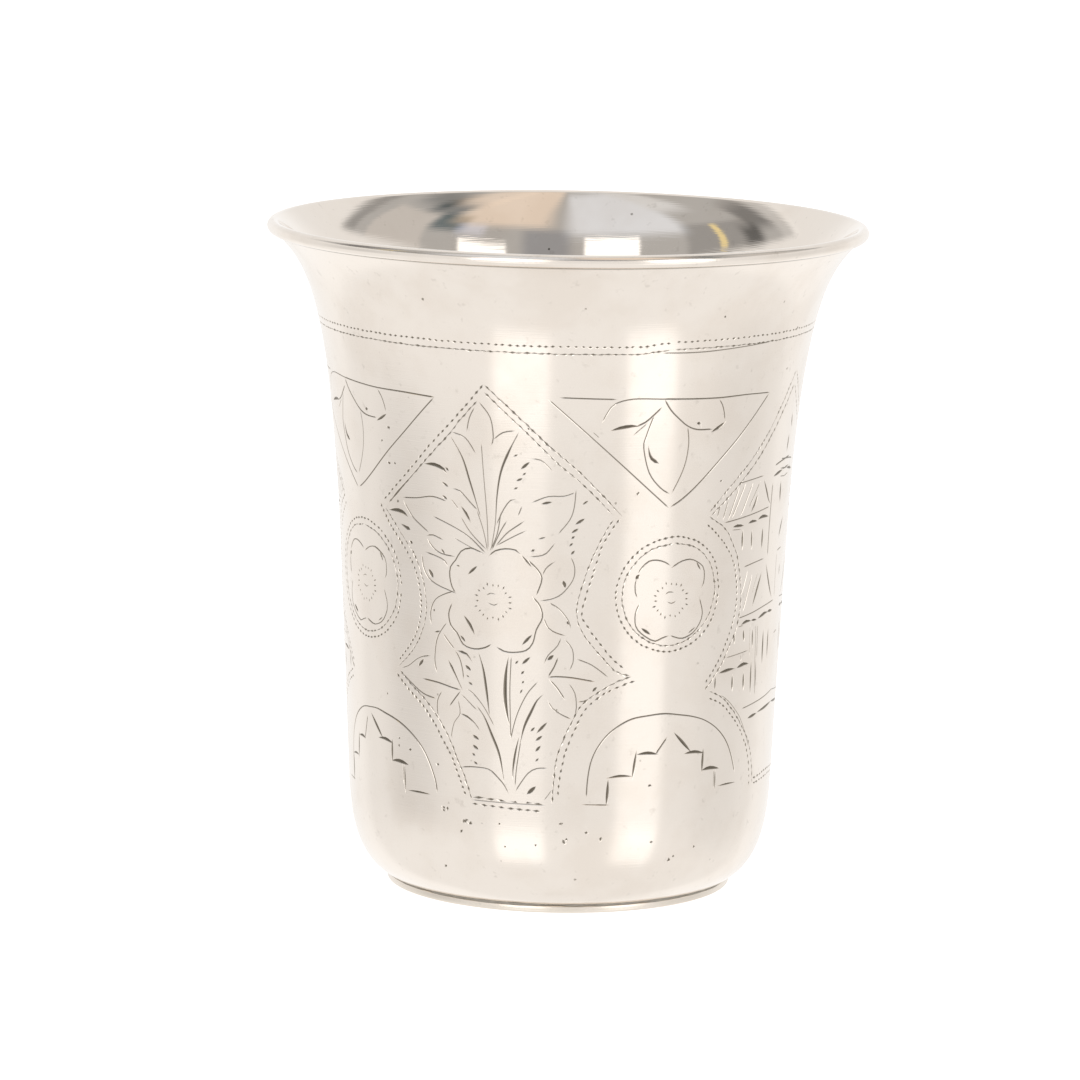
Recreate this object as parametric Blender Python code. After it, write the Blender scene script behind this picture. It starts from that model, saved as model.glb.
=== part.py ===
"""Engraved silver beaker: a raised cup with a flared mouth, and a foot ring soldered under it.

Metres, +Z up, standing on Z = 0, with the axis of the cup on the Z axis and the front towards -Y.
The outside wall is worked out flat, as an engraver lays out a frieze: strokes are drawn on the unrolled
wall, triangulated, sunk as V grooves and rolled up on the turned profile.
"""

import math
from dataclasses import dataclass

import bmesh
import bpy
import numpy as np
from mathutils import Vector
from mathutils.geometry import delaunay_2d_cdt, interpolate_bezier

# Cup
HEIGHT = 0.080
RIM_RADIUS = 0.03598
WALL = 0.0007
LIP_BEAD_RADIUS = 0.00078
LIP_ANGLE = math.radians(45)
FLARE_START = 0.0398
FLARE_LOWER_HANDLE = 0.0312
FLARE_UPPER_HANDLE = 0.0052
SHOULDER_RADIUS = 0.02550
SHOULDER_HEIGHT = 0.0125
SHOULDER_HANDLE = 0.0075
WALL_TAPER = 0.047
BASE_RADIUS = 0.02115
BASE_CORNER_ANGLE = math.radians(58)
BASE_CORNER_HANDLE = 0.0026

# Foot ring
FOOT_RING_HEIGHT = 0.0009
FOOT_RING_RADIUS = 0.02072
FOOT_RING_WIDTH = 0.0020
FOOT_RING_ROUNDING = 0.00025
SOLDER_GAP = 0.0003

# Engraved frieze. Its drawing is laid out flat, X across from the middle of a motif and Y up from
# FRIEZE_BOTTOM, at the size that it has on a wall of DRAWING_RADIUS, and is then fitted to the wall.
FRIEZE_BOTTOM = 0.0135
FRIEZE_TOP_DROP = 0.0160
NECK_LINE_DROP = 0.0117
DRAWING_RADIUS = 0.0261
DRAWING_HEIGHT = 0.0505
LEAN = 0.058
PANELS = 4
FIRST_PANEL_ANGLE = math.radians(-17)
LINE_HALF_WIDTH = 0.00022
BORDER_HALF_WIDTH = 0.00042
GROOVE_SLOPE = 0.65
PLAIN_MARGIN = 0.0016

# Panels
PANEL_APEX = 0.0498
PANEL_HALF_WIDTH = 0.0145
PANEL_SHOULDER = 0.0346
PANEL_LOWER_CORNER = 0.0153
PANEL_FOOT_HALF_WIDTH = 0.0048
PANEL_FOOT = 0.0006
PANEL_SIDE_HOLLOW = 0.0055
PANEL_FOOT_HOLLOW = 0.0025
FLOWER_HEIGHT = 0.0250
FLOWER_RADIUS = 0.0060
FLOWER_EYE_RADIUS = 0.0019
LOBE_OFFSET = 0.40
LOBE_RADIUS = 0.60
STEM_FOOT = 0.0020
STEM_SPREAD = 0.0014
STEM_BOW = 0.0008
TOWN_GROUND = 0.0125
TOWN_HALF_WIDTH = 0.0085
LOWER_EAVE = 0.0205
LOWER_RIDGE = 0.0270
UPPER_FLOOR = 0.0285
UPPER_EAVE = 0.0335
UPPER_RIDGE = 0.0385
UPPER_HALF_WIDTH = 0.0120
TOWER_HALF_WIDTH = 0.0022
TOWER_TOP = 0.0360
SPIRE_TOP = 0.0455
HOUSE_GAP = 0.0014

# Leaves of the flower panel. The plume is a leaf from the flower's top to the gable. A fan leaf is its tip
# and half its width, also from the flower's top, and a side leaf is its base, tip and half its width.
PLUME_TIP_DROP = 0.0026
PLUME_HALF_WIDTH = 0.0013
FAN_LEAVES = (((0.0052, 0.0440), 0.0011), ((0.0108, 0.0366), 0.0017))
SIDE_LEAVES = (((0.0072, 0.0262), (0.0092, 0.0330), 0.0012), ((0.0050, 0.0190), (0.0118, 0.0156), 0.0014),
               ((0.0006, 0.0078), (0.0060, 0.0138), 0.0012))

# Columns between the panels
TRIANGLE_TOP = 0.0490
TRIANGLE_APEX = 0.0360
TRIANGLE_HALF_WIDTH = 0.0130
BELLFLOWER_DROP = 0.0010
BELLFLOWER_RISE = 0.0018
BELLFLOWER_HALF_WIDTH = 0.0026
PETAL_NEAR = 0.0006
PETAL_NEAR_DROP = 0.0014
PETAL_FAR = 0.0082
PETAL_FAR_DROP = 0.0030
PETAL_BOW = 0.0022
MEDALLION_HEIGHT = 0.0255
MEDALLION_RADIUS = 0.0065
MEDALLION_FLOWER_RADIUS = 0.0047
ARCH_FOOT = 0.0012
ARCH_RADIUS = 0.0103
STEP_HALF_WIDTHS = (0.0080, 0.0048, 0.0024)
STEP_RISE = 0.0029
STEP_PEAK = 0.5

# Fineness of the facets. The unrolled wall is cut at SEAM_ANGLE, at the back and clear of the corners of
# the motifs, and a facet has its corners on the X and Y axes.
SEGMENTS = 48
SEAM_ANGLE = math.radians(202.5)
STROKE_STEP = 0.0047
GRID_ROW = 0.0075
GRID_CLEARANCE = 0.0006
FLARE_RINGS = 4
WALL_RINGS = 5
CORNER_RINGS = 5
CORNER_CROWDING = 1.7
UNDERSIDE_RINGS = 2
LIP_STEP = 45
OUTLINE_POINTS = 64
SLOPE_STEP = 0.0001
FOOT_RING_SEGMENTS = 48
ROUNDING_SEGMENTS = 1
MERGE_DISTANCE = 0.000001
DRAWING_SCALE = 1000.0
SHARP_ANGLE = math.radians(35)
SHARPEST_MITRE = 0.4

# Colour and roughness of the silver
CUP_SILVER = ((0.86, 0.82, 0.76), 0.22)
RING_SILVER = ((0.83, 0.78, 0.70), 0.30)


def clear_scene():
    """Remove every object that the file opened with."""
    for scene_object in list(bpy.data.objects):
        bpy.data.objects.remove(scene_object, do_unlink=True)


def silver(name, colour, roughness):
    """Return a silver material with the given base colour and roughness."""
    material = bpy.data.materials.new(name)
    material.use_nodes = True
    shader = material.node_tree.nodes["Principled BSDF"]
    shader.inputs["Base Color"].default_value = (*colour, 1.0)
    shader.inputs["Metallic"].default_value = 1.0
    shader.inputs["Roughness"].default_value = roughness
    material.diffuse_color = (*colour, 1.0)
    return material


def spread(low, high, count):
    """Evenly spaced values from low to high, both included."""
    return [low + (high - low) * index / (count - 1) for index in range(count)]


def base_height():
    """Height of the cup's flat underside, above the foot ring and the gap that the solder fills."""
    return FOOT_RING_HEIGHT + SOLDER_GAP


def lip_centre():
    """Radius and height of the middle of the rounded lip."""
    return RIM_RADIUS - LIP_BEAD_RADIUS, HEIGHT - LIP_BEAD_RADIUS


def lip_crease():
    """Half the angle of the rounded lip that the wall takes up, seen from the middle of the lip."""
    return math.asin(WALL / 2 / LIP_BEAD_RADIUS)


def outer_outline():
    """Outside of the cup from the underside's edge up to the lip, as rows of radius and height."""
    corner_direction = Vector((math.sin(BASE_CORNER_ANGLE), math.cos(BASE_CORNER_ANGLE)))
    wall_direction = Vector((WALL_TAPER, 1.0)).normalized()
    lip_direction = Vector((math.sin(LIP_ANGLE), math.cos(LIP_ANGLE)))
    lip_side = Vector((math.cos(LIP_ANGLE), -math.sin(LIP_ANGLE)))
    base = Vector((BASE_RADIUS, base_height()))
    shoulder = Vector((SHOULDER_RADIUS, SHOULDER_HEIGHT))
    flare_start = shoulder + Vector((WALL_TAPER, 1.0)) * (FLARE_START - SHOULDER_HEIGHT)
    lip = Vector(lip_centre()) + lip_side * (WALL / 2)
    lip -= lip_direction * (LIP_BEAD_RADIUS * math.cos(lip_crease()))
    corner = interpolate_bezier(base, base + corner_direction * BASE_CORNER_HANDLE,
                                shoulder - wall_direction * SHOULDER_HANDLE, shoulder, OUTLINE_POINTS)
    flare = interpolate_bezier(flare_start, flare_start + wall_direction * FLARE_LOWER_HANDLE,
                               lip - lip_direction * FLARE_UPPER_HANDLE, lip, OUTLINE_POINTS)
    return np.array([(point.x, point.y) for point in corner + flare])


OUTLINE = outer_outline()


def outer_radius(height):
    """Radius of the outside wall at a height."""
    return float(np.interp(height, OUTLINE[:, 1], OUTLINE[:, 0]))


def inner_point(height):
    """Point of the inside wall that faces the outside wall at a height, one wall thickness in."""
    low = max(height - SLOPE_STEP, float(OUTLINE[0, 1]))
    high = min(height + SLOPE_STEP, float(OUTLINE[-1, 1]))
    slope = (outer_radius(high) - outer_radius(low)) / (high - low)
    normal = Vector((1.0, -slope)).normalized()
    return outer_radius(height) - normal.x * WALL, height - normal.y * WALL


def frieze_zone():
    """Lowest and highest height of the wall that is worked out flat."""
    return FRIEZE_BOTTOM - PLAIN_MARGIN, HEIGHT - NECK_LINE_DROP + PLAIN_MARGIN


def lower_outline():
    """From the middle of the underside out and up to the frieze zone."""
    bottom, _ = frieze_zone()
    underside = [(radius, base_height()) for radius in spread(0, BASE_RADIUS, UNDERSIDE_RINGS)[:-1]]
    rises = [share ** CORNER_CROWDING for share in spread(0, 1, CORNER_RINGS)]
    corner = [base_height() + (bottom - base_height()) * rise for rise in rises]
    return underside + [(outer_radius(height), height) for height in corner]


def upper_outline():
    """From the frieze zone over the lip, down the inside wall and across the floor to the axis."""
    _, top = frieze_zone()
    flare_top = float(OUTLINE[-1, 1])
    outside = [(outer_radius(height), height) for height in spread(top, flare_top, FLARE_RINGS)[:-1]]
    lip_radius, lip_height = lip_centre()
    towards_wall = -math.pi / 2 - LIP_ANGLE
    turns = [towards_wall + lip_crease(), *map(math.radians, range(-LIP_STEP, 180, LIP_STEP))]
    turns.append(towards_wall + math.tau - lip_crease())
    lip = [(lip_radius + LIP_BEAD_RADIUS * math.cos(angle), lip_height + LIP_BEAD_RADIUS * math.sin(angle))
           for angle in turns]
    heights = spread(flare_top, top, FLARE_RINGS)[1:] + spread(top, SHOULDER_HEIGHT, WALL_RINGS)[1:]
    rises = [share ** CORNER_CROWDING for share in spread(1, 0, CORNER_RINGS)]
    heights += [base_height() + (SHOULDER_HEIGHT - base_height()) * rise for rise in rises[1:]]
    floor_height = base_height() + WALL
    inside = [point for point in map(inner_point, heights) if point[1] > floor_height + MERGE_DISTANCE]
    floor = [(radius, floor_height) for radius in spread(BASE_RADIUS - WALL, 0, UNDERSIDE_RINGS)]
    return outside + lip + inside + floor


def spin_outline(mesh, outline):
    """Turn an outline of radius and height once round the axis, starting at the seam."""
    side = Vector((math.sin(SEAM_ANGLE), -math.cos(SEAM_ANGLE)))
    vertices = [mesh.verts.new((side.x * radius, side.y * radius, height)) for radius, height in outline]
    edges = [mesh.edges.new(pair) for pair in zip(vertices, vertices[1:])]
    bmesh.ops.spin(mesh, geom=vertices + edges, cent=(0, 0, 0), axis=(0, 0, 1), angle=math.tau,
                   steps=SEGMENTS, use_merge=True)


def arc(centre, radius, start, end):
    """Points of a circular arc, with angles in degrees counted from +X."""
    sweep = math.radians(end - start)
    count = max(5, math.ceil(abs(sweep) * radius / STROKE_STEP) + 1)
    angles = [math.radians(start) + turn for turn in spread(0, sweep, count)]
    return [(centre[0] + radius * math.cos(angle), centre[1] + radius * math.sin(angle)) for angle in angles]


def bow(start, end, hollow=0.0):
    """Points from start to end along a curve that bulges to the left of the way by hollow."""
    length = math.dist(start, end)
    count = max(4 if hollow else 2, math.ceil(length / STROKE_STEP) + 1)
    left = ((start[1] - end[1]) / length, (end[0] - start[0]) / length)
    points = []
    for share in spread(0, 1, count):
        bulge = 4 * hollow * share * (1 - share)
        points.append((start[0] + (end[0] - start[0]) * share + left[0] * bulge,
                       start[1] + (end[1] - start[1]) * share + left[1] * bulge))
    return points


@dataclass(frozen=True)
class Stroke:
    """One engraved line of the drawing: its points, whether it closes on itself, and half its width."""

    points: list
    closed: bool = False
    half_width: float = LINE_HALF_WIDTH

    def moved(self, place):
        """The same stroke with each of its points put through a function."""
        return Stroke([place(x, y) for x, y in self.points], self.closed, self.half_width)


def line(*corners):
    """An open stroke along straight stretches."""
    points = []
    for start, end in zip(corners, corners[1:]):
        points += bow(start, end)[:-1]
    return Stroke(points + [corners[-1]])


def outline_of(corners, hollows, half_width):
    """A closed stroke along bowed stretches from corner to corner."""
    points = []
    for start, end, hollow in zip(corners, corners[1:] + corners[:1], hollows):
        points += bow(start, end, hollow)[:-1]
    return Stroke(points, True, half_width)


def ring(centre, radius, half_width):
    """A stroke round a full circle."""
    return Stroke(arc(centre, radius, 0, 360)[:-1], True, half_width)


def leaf(base, tip, half_width):
    """A pointed leaf, drawn with two bowed strokes."""
    return [Stroke(bow(base, tip, half_width)), Stroke(bow(base, tip, -half_width))]


def both_sides(strokes):
    """The strokes and their mirror images on the other side of the motif's middle."""
    return strokes + [stroke.moved(lambda x, y: (-x, y)) for stroke in strokes]


def lobed_flower(centre, radius):
    """Outline of a flower with four round lobes."""
    overlap = math.degrees(math.asin(LOBE_OFFSET / LOBE_RADIUS))
    points = []
    for start, across, up in ((0, 1, 1), (90, -1, 1), (180, -1, -1), (270, 1, -1)):
        lobe = (centre[0] + across * radius * LOBE_OFFSET, centre[1] + up * radius * LOBE_OFFSET)
        points += arc(lobe, radius * LOBE_RADIUS, start - overlap, start + 90 + overlap)[:-1]
    return Stroke(points, True)


def shifted(points, distance, closed):
    """The points moved sideways by distance, to the left of their way, with the corners mitred."""
    ways = []
    pairs = zip(points, points[1:] + points[:1]) if closed else zip(points, points[1:])
    for start, end in pairs:
        ways.append((Vector(end) - Vector(start)).normalized())
    moved = []
    for index, point in enumerate(points):
        before = ways[index - 1] if index or closed else ways[0]
        after = ways[index] if index < len(ways) else ways[-1]
        middle = (before + after).normalized()
        left = Vector((-middle.y, middle.x))
        stretch = max(left.dot(Vector((-after.y, after.x))), SHARPEST_MITRE)
        moved.append(tuple(Vector(point) + left * (distance / stretch)))
    return moved


def panel_border():
    """Border of a panel: a gable, sides that hug the medallions and lower sides that hug the arches."""
    half = [(0, PANEL_APEX), (PANEL_HALF_WIDTH, PANEL_SHOULDER), (PANEL_HALF_WIDTH, PANEL_LOWER_CORNER),
            (PANEL_FOOT_HALF_WIDTH, PANEL_FOOT)]
    corners = half + [(-x, y) for x, y in reversed(half[1:])]
    hollows = [0, -PANEL_SIDE_HOLLOW, -PANEL_FOOT_HOLLOW, 0, -PANEL_FOOT_HOLLOW, -PANEL_SIDE_HOLLOW, 0]
    return [outline_of(corners, hollows, BORDER_HALF_WIDTH)]


def flower_panel():
    """Four-lobed flower on two stems, with a fan of leaves over it and leaves at its sides and foot."""
    centre = (0, FLOWER_HEIGHT)
    top = (0, FLOWER_HEIGHT + FLOWER_RADIUS)
    foot = (0, STEM_FOOT)
    strokes = [lobed_flower(centre, FLOWER_RADIUS), ring(centre, FLOWER_EYE_RADIUS, LINE_HALF_WIDTH)]
    strokes += leaf(top, (0, PANEL_APEX - PLUME_TIP_DROP), PLUME_HALF_WIDTH)
    sides = []
    for tip, half_width in FAN_LEAVES:
        sides += leaf(top, tip, half_width)
    for base, tip, half_width in SIDE_LEAVES:
        sides += leaf(base, tip, half_width)
    sides.append(Stroke(bow((STEM_SPREAD, FLOWER_HEIGHT - FLOWER_RADIUS), foot, STEM_BOW)))
    return strokes + both_sides(sides)


def house(near, far, floor, eave, ridge):
    """House beside the tower: a wall with a window and a roof that slopes away from the tower."""
    half_way = (near + far) / 2
    return [line((near, floor), (near, eave), (half_way, ridge), (far, eave), (far, floor)),
            line((near, eave), (far, eave)), line((half_way, floor), (half_way, (floor + eave) / 2))]


def town_panel():
    """A small town: houses above each other on both sides of a tower with a spire."""
    tower = TOWER_HALF_WIDTH
    strokes = [line((-tower, TOWN_GROUND), (-tower, TOWER_TOP), (0, SPIRE_TOP), (tower, TOWER_TOP),
                    (tower, TOWN_GROUND)),
               line((-tower, TOWER_TOP), (tower, TOWER_TOP)),
               line((-TOWN_HALF_WIDTH, TOWN_GROUND), (TOWN_HALF_WIDTH, TOWN_GROUND))]
    lower = house(tower + HOUSE_GAP, TOWN_HALF_WIDTH, TOWN_GROUND, LOWER_EAVE, LOWER_RIDGE)
    upper = house(tower + HOUSE_GAP, UPPER_HALF_WIDTH, UPPER_FLOOR, UPPER_EAVE, UPPER_RIDGE)
    return strokes + both_sides(lower + upper)


def column():
    """Motifs between two panels: a bellflower in a triangle, a ringed flower and an arch over steps."""
    triangle = [(-TRIANGLE_HALF_WIDTH, TRIANGLE_TOP), (TRIANGLE_HALF_WIDTH, TRIANGLE_TOP), (0, TRIANGLE_APEX)]
    medallion = (0, MEDALLION_HEIGHT)
    strokes = [outline_of(triangle, [0, 0, 0], LINE_HALF_WIDTH)]
    strokes += leaf((0, TRIANGLE_TOP - BELLFLOWER_DROP), (0, TRIANGLE_APEX + BELLFLOWER_RISE),
                    BELLFLOWER_HALF_WIDTH)
    side_petal = bow((PETAL_NEAR, TRIANGLE_TOP - PETAL_NEAR_DROP), (PETAL_FAR, TRIANGLE_TOP - PETAL_FAR_DROP),
                     -PETAL_BOW)
    strokes += both_sides([Stroke(side_petal)])
    strokes.append(ring(medallion, MEDALLION_RADIUS, BORDER_HALF_WIDTH))
    strokes.append(lobed_flower(medallion, MEDALLION_FLOWER_RADIUS))
    strokes.append(Stroke(arc((0, ARCH_FOOT), ARCH_RADIUS, 0, 180)))
    steps = []
    height = ARCH_FOOT
    for half_width in STEP_HALF_WIDTHS:
        steps += [(half_width, height), (half_width, height + STEP_RISE)]
        height += STEP_RISE
    steps.append((0, height + STEP_RISE * STEP_PEAK))
    strokes.append(line(*[(-x, y) for x, y in steps], *reversed(steps[:-1])))
    return strokes


def placed(stroke, middle_angle):
    """A stroke of a motif put on the unrolled wall, in drawing units, with the frieze's slight lean."""
    fit = (HEIGHT - FRIEZE_TOP_DROP - FRIEZE_BOTTOM) / DRAWING_HEIGHT
    start = (middle_angle - SEAM_ANGLE) % math.tau * DRAWING_RADIUS
    return stroke.moved(lambda x, y: ((start + x - LEAN * (y - DRAWING_HEIGHT / 2)) * DRAWING_SCALE,
                                      (FRIEZE_BOTTOM + y * fit) * DRAWING_SCALE))


def frieze_strokes():
    """Every stroke of the frieze on the unrolled wall, with copies past both sides of the seam."""
    turn = math.tau * DRAWING_RADIUS * DRAWING_SCALE
    strokes = []
    for index in range(PANELS):
        angle = FIRST_PANEL_ANGLE + index * math.tau / PANELS
        picture = town_panel() if index % 2 else flower_panel()
        motifs = [(angle, panel_border() + picture), (angle + math.tau / PANELS / 2, column())]
        for middle, drawing in motifs:
            strokes += [placed(stroke, middle) for stroke in drawing]
    copies = []
    for shift in (-turn, 0, turn):
        copies += [stroke.moved(lambda x, y: (x + shift, y)) for stroke in strokes]
    margin = turn / SEGMENTS
    neck_height = (HEIGHT - NECK_LINE_DROP) * DRAWING_SCALE
    neck = [(margin * index, neck_height) for index in range(-1, SEGMENTS + 2)]
    copies.append(Stroke(neck, False, BORDER_HALF_WIDTH))
    return [stroke for stroke in copies
            if min(stroke.points)[0] < turn + margin and max(stroke.points)[0] > -margin]


def groove_depths(points, strokes):
    """Depth of the V grooves at each of the points, and how far each point is from the nearest groove."""
    nearest = np.full(len(points), np.inf)
    for stroke in strokes:
        path = np.array(stroke.points + stroke.points[:1] if stroke.closed else stroke.points)
        for start, end in zip(path, path[1:]):
            way = end - start
            share = np.clip((points - start) @ way / (way @ way), 0, 1)
            gaps = points - start - share[:, None] * way
            distance = np.hypot(gaps[:, 0], gaps[:, 1]) / DRAWING_SCALE
            nearest = np.minimum(nearest, distance - stroke.half_width)
    return GROOVE_SLOPE * np.maximum(-nearest, 0), nearest


def groove_edges(stroke):
    """Middle line and edges of a groove, as point lists with a flag for closed ones."""
    points = stroke.points
    half_width = stroke.half_width * DRAWING_SCALE
    left = shifted(points, half_width, stroke.closed)
    right = shifted(points, -half_width, stroke.closed)
    if stroke.closed:
        return [(points, True), (left, True), (right, True)]
    first, second, last, before = (Vector(points[index]) for index in (0, 1, -1, -2))
    start = tuple(first + (first - second).normalized() * half_width)
    end = tuple(last + (last - before).normalized() * half_width)
    return [(points, False), ([start, *left, end, *reversed(right)], True)]


def frieze_mesh(mesh):
    """Triangulate the unrolled wall with its strokes, sink the grooves and roll it up on the profile."""
    bottom, top = (height * DRAWING_SCALE for height in frieze_zone())
    turn = math.tau * DRAWING_RADIUS * DRAWING_SCALE
    strokes = frieze_strokes()
    rows = max(3, round((top - bottom) / (GRID_ROW * DRAWING_SCALE)))
    across = spread(0, turn, SEGMENTS + 1)
    grid = [(x, y) for y in spread(bottom, top, rows + 1)[1:-1] for x in across]
    _, nearest = groove_depths(np.array(grid), strokes)
    points = [point for point, gap in zip(grid, nearest) if gap > GRID_CLEARANCE]
    edges = []
    lines = [([(x, bottom) for x in across], False), ([(x, top) for x in across], False)]
    lines += [([(x, bottom), (x, top)], False) for x in (0, turn)]
    for stroke in strokes:
        lines += groove_edges(stroke)
    for route, closed in lines:
        start = len(points)
        points += route
        edges += [(start + index, start + index + 1) for index in range(len(route) - 1)]
        if closed:
            edges.append((len(points) - 1, start))
    flat, _, triangles, _, _, _ = delaunay_2d_cdt([Vector(point) for point in points], edges, [], 0,
                                                  MERGE_DISTANCE * DRAWING_SCALE, False)
    flat = np.array([tuple(point) for point in flat])
    depths, _ = groove_depths(flat, strokes)
    used = {}
    for triangle in triangles:
        middle = flat[list(triangle)].mean(axis=0)
        if not (0 < middle[0] < turn and bottom < middle[1] < top):
            continue
        corners = []
        for index in triangle:
            if index not in used:
                angle = SEAM_ANGLE + flat[index, 0] / turn * math.tau
                height = flat[index, 1] / DRAWING_SCALE
                radius = outer_radius(height) - depths[index]
                used[index] = mesh.verts.new((radius * math.sin(angle), -radius * math.cos(angle), height))
            corners.append(used[index])
        mesh.faces.new(corners)


def finish_object(name, mesh, material):
    """Close up a mesh, turn its faces outwards and put it in the scene as a named object."""
    bmesh.ops.remove_doubles(mesh, verts=mesh.verts, dist=MERGE_DISTANCE)
    bmesh.ops.recalc_face_normals(mesh, faces=mesh.faces)
    data = bpy.data.meshes.new(name)
    mesh.to_mesh(data)
    mesh.free()
    data.shade_smooth()
    data.set_sharp_from_angle(angle=SHARP_ANGLE)
    data.materials.append(material)
    scene_object = bpy.data.objects.new(name, data)
    bpy.context.scene.collection.objects.link(scene_object)
    return scene_object


def beaker_body():
    """The cup: one piece of raised silver with the frieze cut into its outside."""
    mesh = bmesh.new()
    spin_outline(mesh, lower_outline())
    spin_outline(mesh, upper_outline())
    frieze_mesh(mesh)
    return finish_object("beaker_body", mesh, silver("engraved_silver", *CUP_SILVER))


def foot_ring():
    """The ring of square wire with rounded edges that the cup stands on."""
    mesh = bmesh.new()
    inner = FOOT_RING_RADIUS - FOOT_RING_WIDTH
    section = [(FOOT_RING_RADIUS, FOOT_RING_HEIGHT), (FOOT_RING_RADIUS, 0), (inner, 0),
               (inner, FOOT_RING_HEIGHT)]
    vertices = [mesh.verts.new((radius, 0, height)) for radius, height in section]
    edges = [mesh.edges.new(pair) for pair in zip(vertices, vertices[1:] + vertices[:1])]
    bmesh.ops.spin(mesh, geom=vertices + edges, cent=(0, 0, 0), axis=(0, 0, 1), angle=math.tau,
                   steps=FOOT_RING_SEGMENTS, use_merge=True)
    bmesh.ops.recalc_face_normals(mesh, faces=mesh.faces)
    mesh.normal_update()
    rims = [edge for edge in mesh.edges if edge.calc_face_angle(0) > SHARP_ANGLE
            and edge.verts[0].co.xy.length > FOOT_RING_RADIUS - FOOT_RING_WIDTH / 2]
    bmesh.ops.bevel(mesh, geom=rims, offset=FOOT_RING_ROUNDING, offset_type="OFFSET", affect="EDGES",
                    segments=ROUNDING_SEGMENTS, profile=0.5, material=-1, clamp_overlap=True)
    return finish_object("foot_ring", mesh, silver("ring_silver", *RING_SILVER))


clear_scene()
beaker_body()
foot_ring()
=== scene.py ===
"""Looks of the engraved silver beaker: the cup with its cut drawing, the foot ring and the solder line.

The cup is turned from one outline. Its outside wall is worked out flat, as an engraver would lay out a
frieze: cuts, punched dots and pits are drawn on the unrolled wall, triangulated, sunk and rolled up.
Sizes in the classes are in millimetres, and the meshes are in metres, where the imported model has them.
"""

import logging
import math
from bisect import bisect_left, bisect_right
from collections.abc import Callable
from dataclasses import dataclass, field, replace
from enum import Enum
from itertools import accumulate
from random import Random

import bmesh
import bpy
import numpy as np
from mathutils import Matrix, Vector
from mathutils.geometry import delaunay_2d_cdt, interpolate_bezier


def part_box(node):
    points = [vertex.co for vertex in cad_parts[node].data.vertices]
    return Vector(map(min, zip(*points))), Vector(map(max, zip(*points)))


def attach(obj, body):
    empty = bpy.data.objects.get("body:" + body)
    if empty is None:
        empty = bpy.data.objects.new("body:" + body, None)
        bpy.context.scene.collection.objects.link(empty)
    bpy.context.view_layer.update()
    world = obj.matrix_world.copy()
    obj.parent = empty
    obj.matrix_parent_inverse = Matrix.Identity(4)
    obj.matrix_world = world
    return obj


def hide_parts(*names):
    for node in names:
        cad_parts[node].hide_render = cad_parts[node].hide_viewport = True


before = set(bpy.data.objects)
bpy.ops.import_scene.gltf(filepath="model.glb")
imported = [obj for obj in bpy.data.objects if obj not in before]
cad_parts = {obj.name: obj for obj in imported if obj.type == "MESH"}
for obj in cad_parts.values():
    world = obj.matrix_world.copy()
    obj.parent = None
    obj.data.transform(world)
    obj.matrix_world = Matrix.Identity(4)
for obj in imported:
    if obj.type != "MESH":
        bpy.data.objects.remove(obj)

LOG = logging.getLogger("beaker")
MM = 0.001
# The least length that a share of a piece of line is divided by
SHORTEST = 1e-6
SMOOTH = {"interpolation_type": "SMOOTHSTEP"}
Point = tuple[float, float]
Colour = tuple[float, float, float, float]
Tree = bpy.types.NodeTree
Socket = bpy.types.NodeSocket


def linear(colour: str) -> Colour:
    """Turn an sRGB hex colour into linear light.

    Args:
        colour: The colour as "#RRGGBB".

    Returns:
        Red, green, blue and an alpha of 1.
    """
    shares = [int(colour[start:start + 2], 16) / 255 for start in (1, 3, 5)]
    light = [share / 12.92 if share <= 0.04045 else ((share + 0.055) / 1.055) ** 2.4 for share in shares]
    return light[0], light[1], light[2], 1.0


def add_node(tree: Tree, kind: str, settings: dict | None = None,
             links: dict | None = None) -> bpy.types.Node:
    """Add one node to a tree.

    Args:
        tree: The node tree.
        kind: The node's type, such as "ShaderNodeMath".
        settings: Values by input name, input number or property name.
        links: Output sockets by the name or number of the input that each one feeds.

    Returns:
        The new node.
    """
    node = tree.nodes.new(kind)
    for name, value in (settings or {}).items():
        if isinstance(name, int) or name in node.inputs:
            node.inputs[name].default_value = value
        else:
            setattr(node, name, value)
    for name, source in (links or {}).items():
        tree.links.new(source, node.inputs[name])
    return node


def smooth_step(values: np.ndarray, low: float, high: float) -> np.ndarray:
    """Rise smoothly from 0 at low to 1 at high."""
    share = np.clip((values - low) / (high - low), 0.0, 1.0)
    return share * share * (3.0 - 2.0 * share)


def spread(low: float, high: float, count: int) -> list[float]:
    """Evenly spaced values from low to high, both included."""
    return [low + (high - low) * index / (count - 1) for index in range(count)]


def lengths_along(line: list[Point]) -> list[float]:
    """Distance along a line from its start to each of its points."""
    return [0.0, *accumulate(math.dist(start, end) for start, end in zip(line, line[1:]))]


def smooth_route(points: list[Point], step: float, fewest: int = 4) -> list[Point]:
    """Lay a smooth line through given points.

    Args:
        points: The points that the line passes through.
        step: The distance between the points of the new line.
        fewest: The fewest pieces that the new line has.

    Returns:
        Points along a Catmull-Rom curve through the given points.
    """
    ends = [Vector(points[0]) * 2 - Vector(points[1]), Vector(points[-1]) * 2 - Vector(points[-2])]
    knots = [ends[0], *map(Vector, points), ends[1]]
    length = sum((b - a).length for a, b in zip(knots[1:-2], knots[2:-1]))
    step = min(step, length / fewest)
    route = []
    for before, start, end, after in zip(knots, knots[1:], knots[2:], knots[3:]):
        pieces = max(1, round((end - start).length / step))
        for index in range(pieces):
            share = index / pieces
            curve = (start * 2 + (end - before) * share
                     + (before * 2 - start * 5 + end * 4 - after) * share ** 2
                     + (start * 3 - before - end * 3 + after) * share ** 3) / 2
            route.append((curve.x, curve.y))
    return [*route, tuple(knots[-2])]


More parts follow.
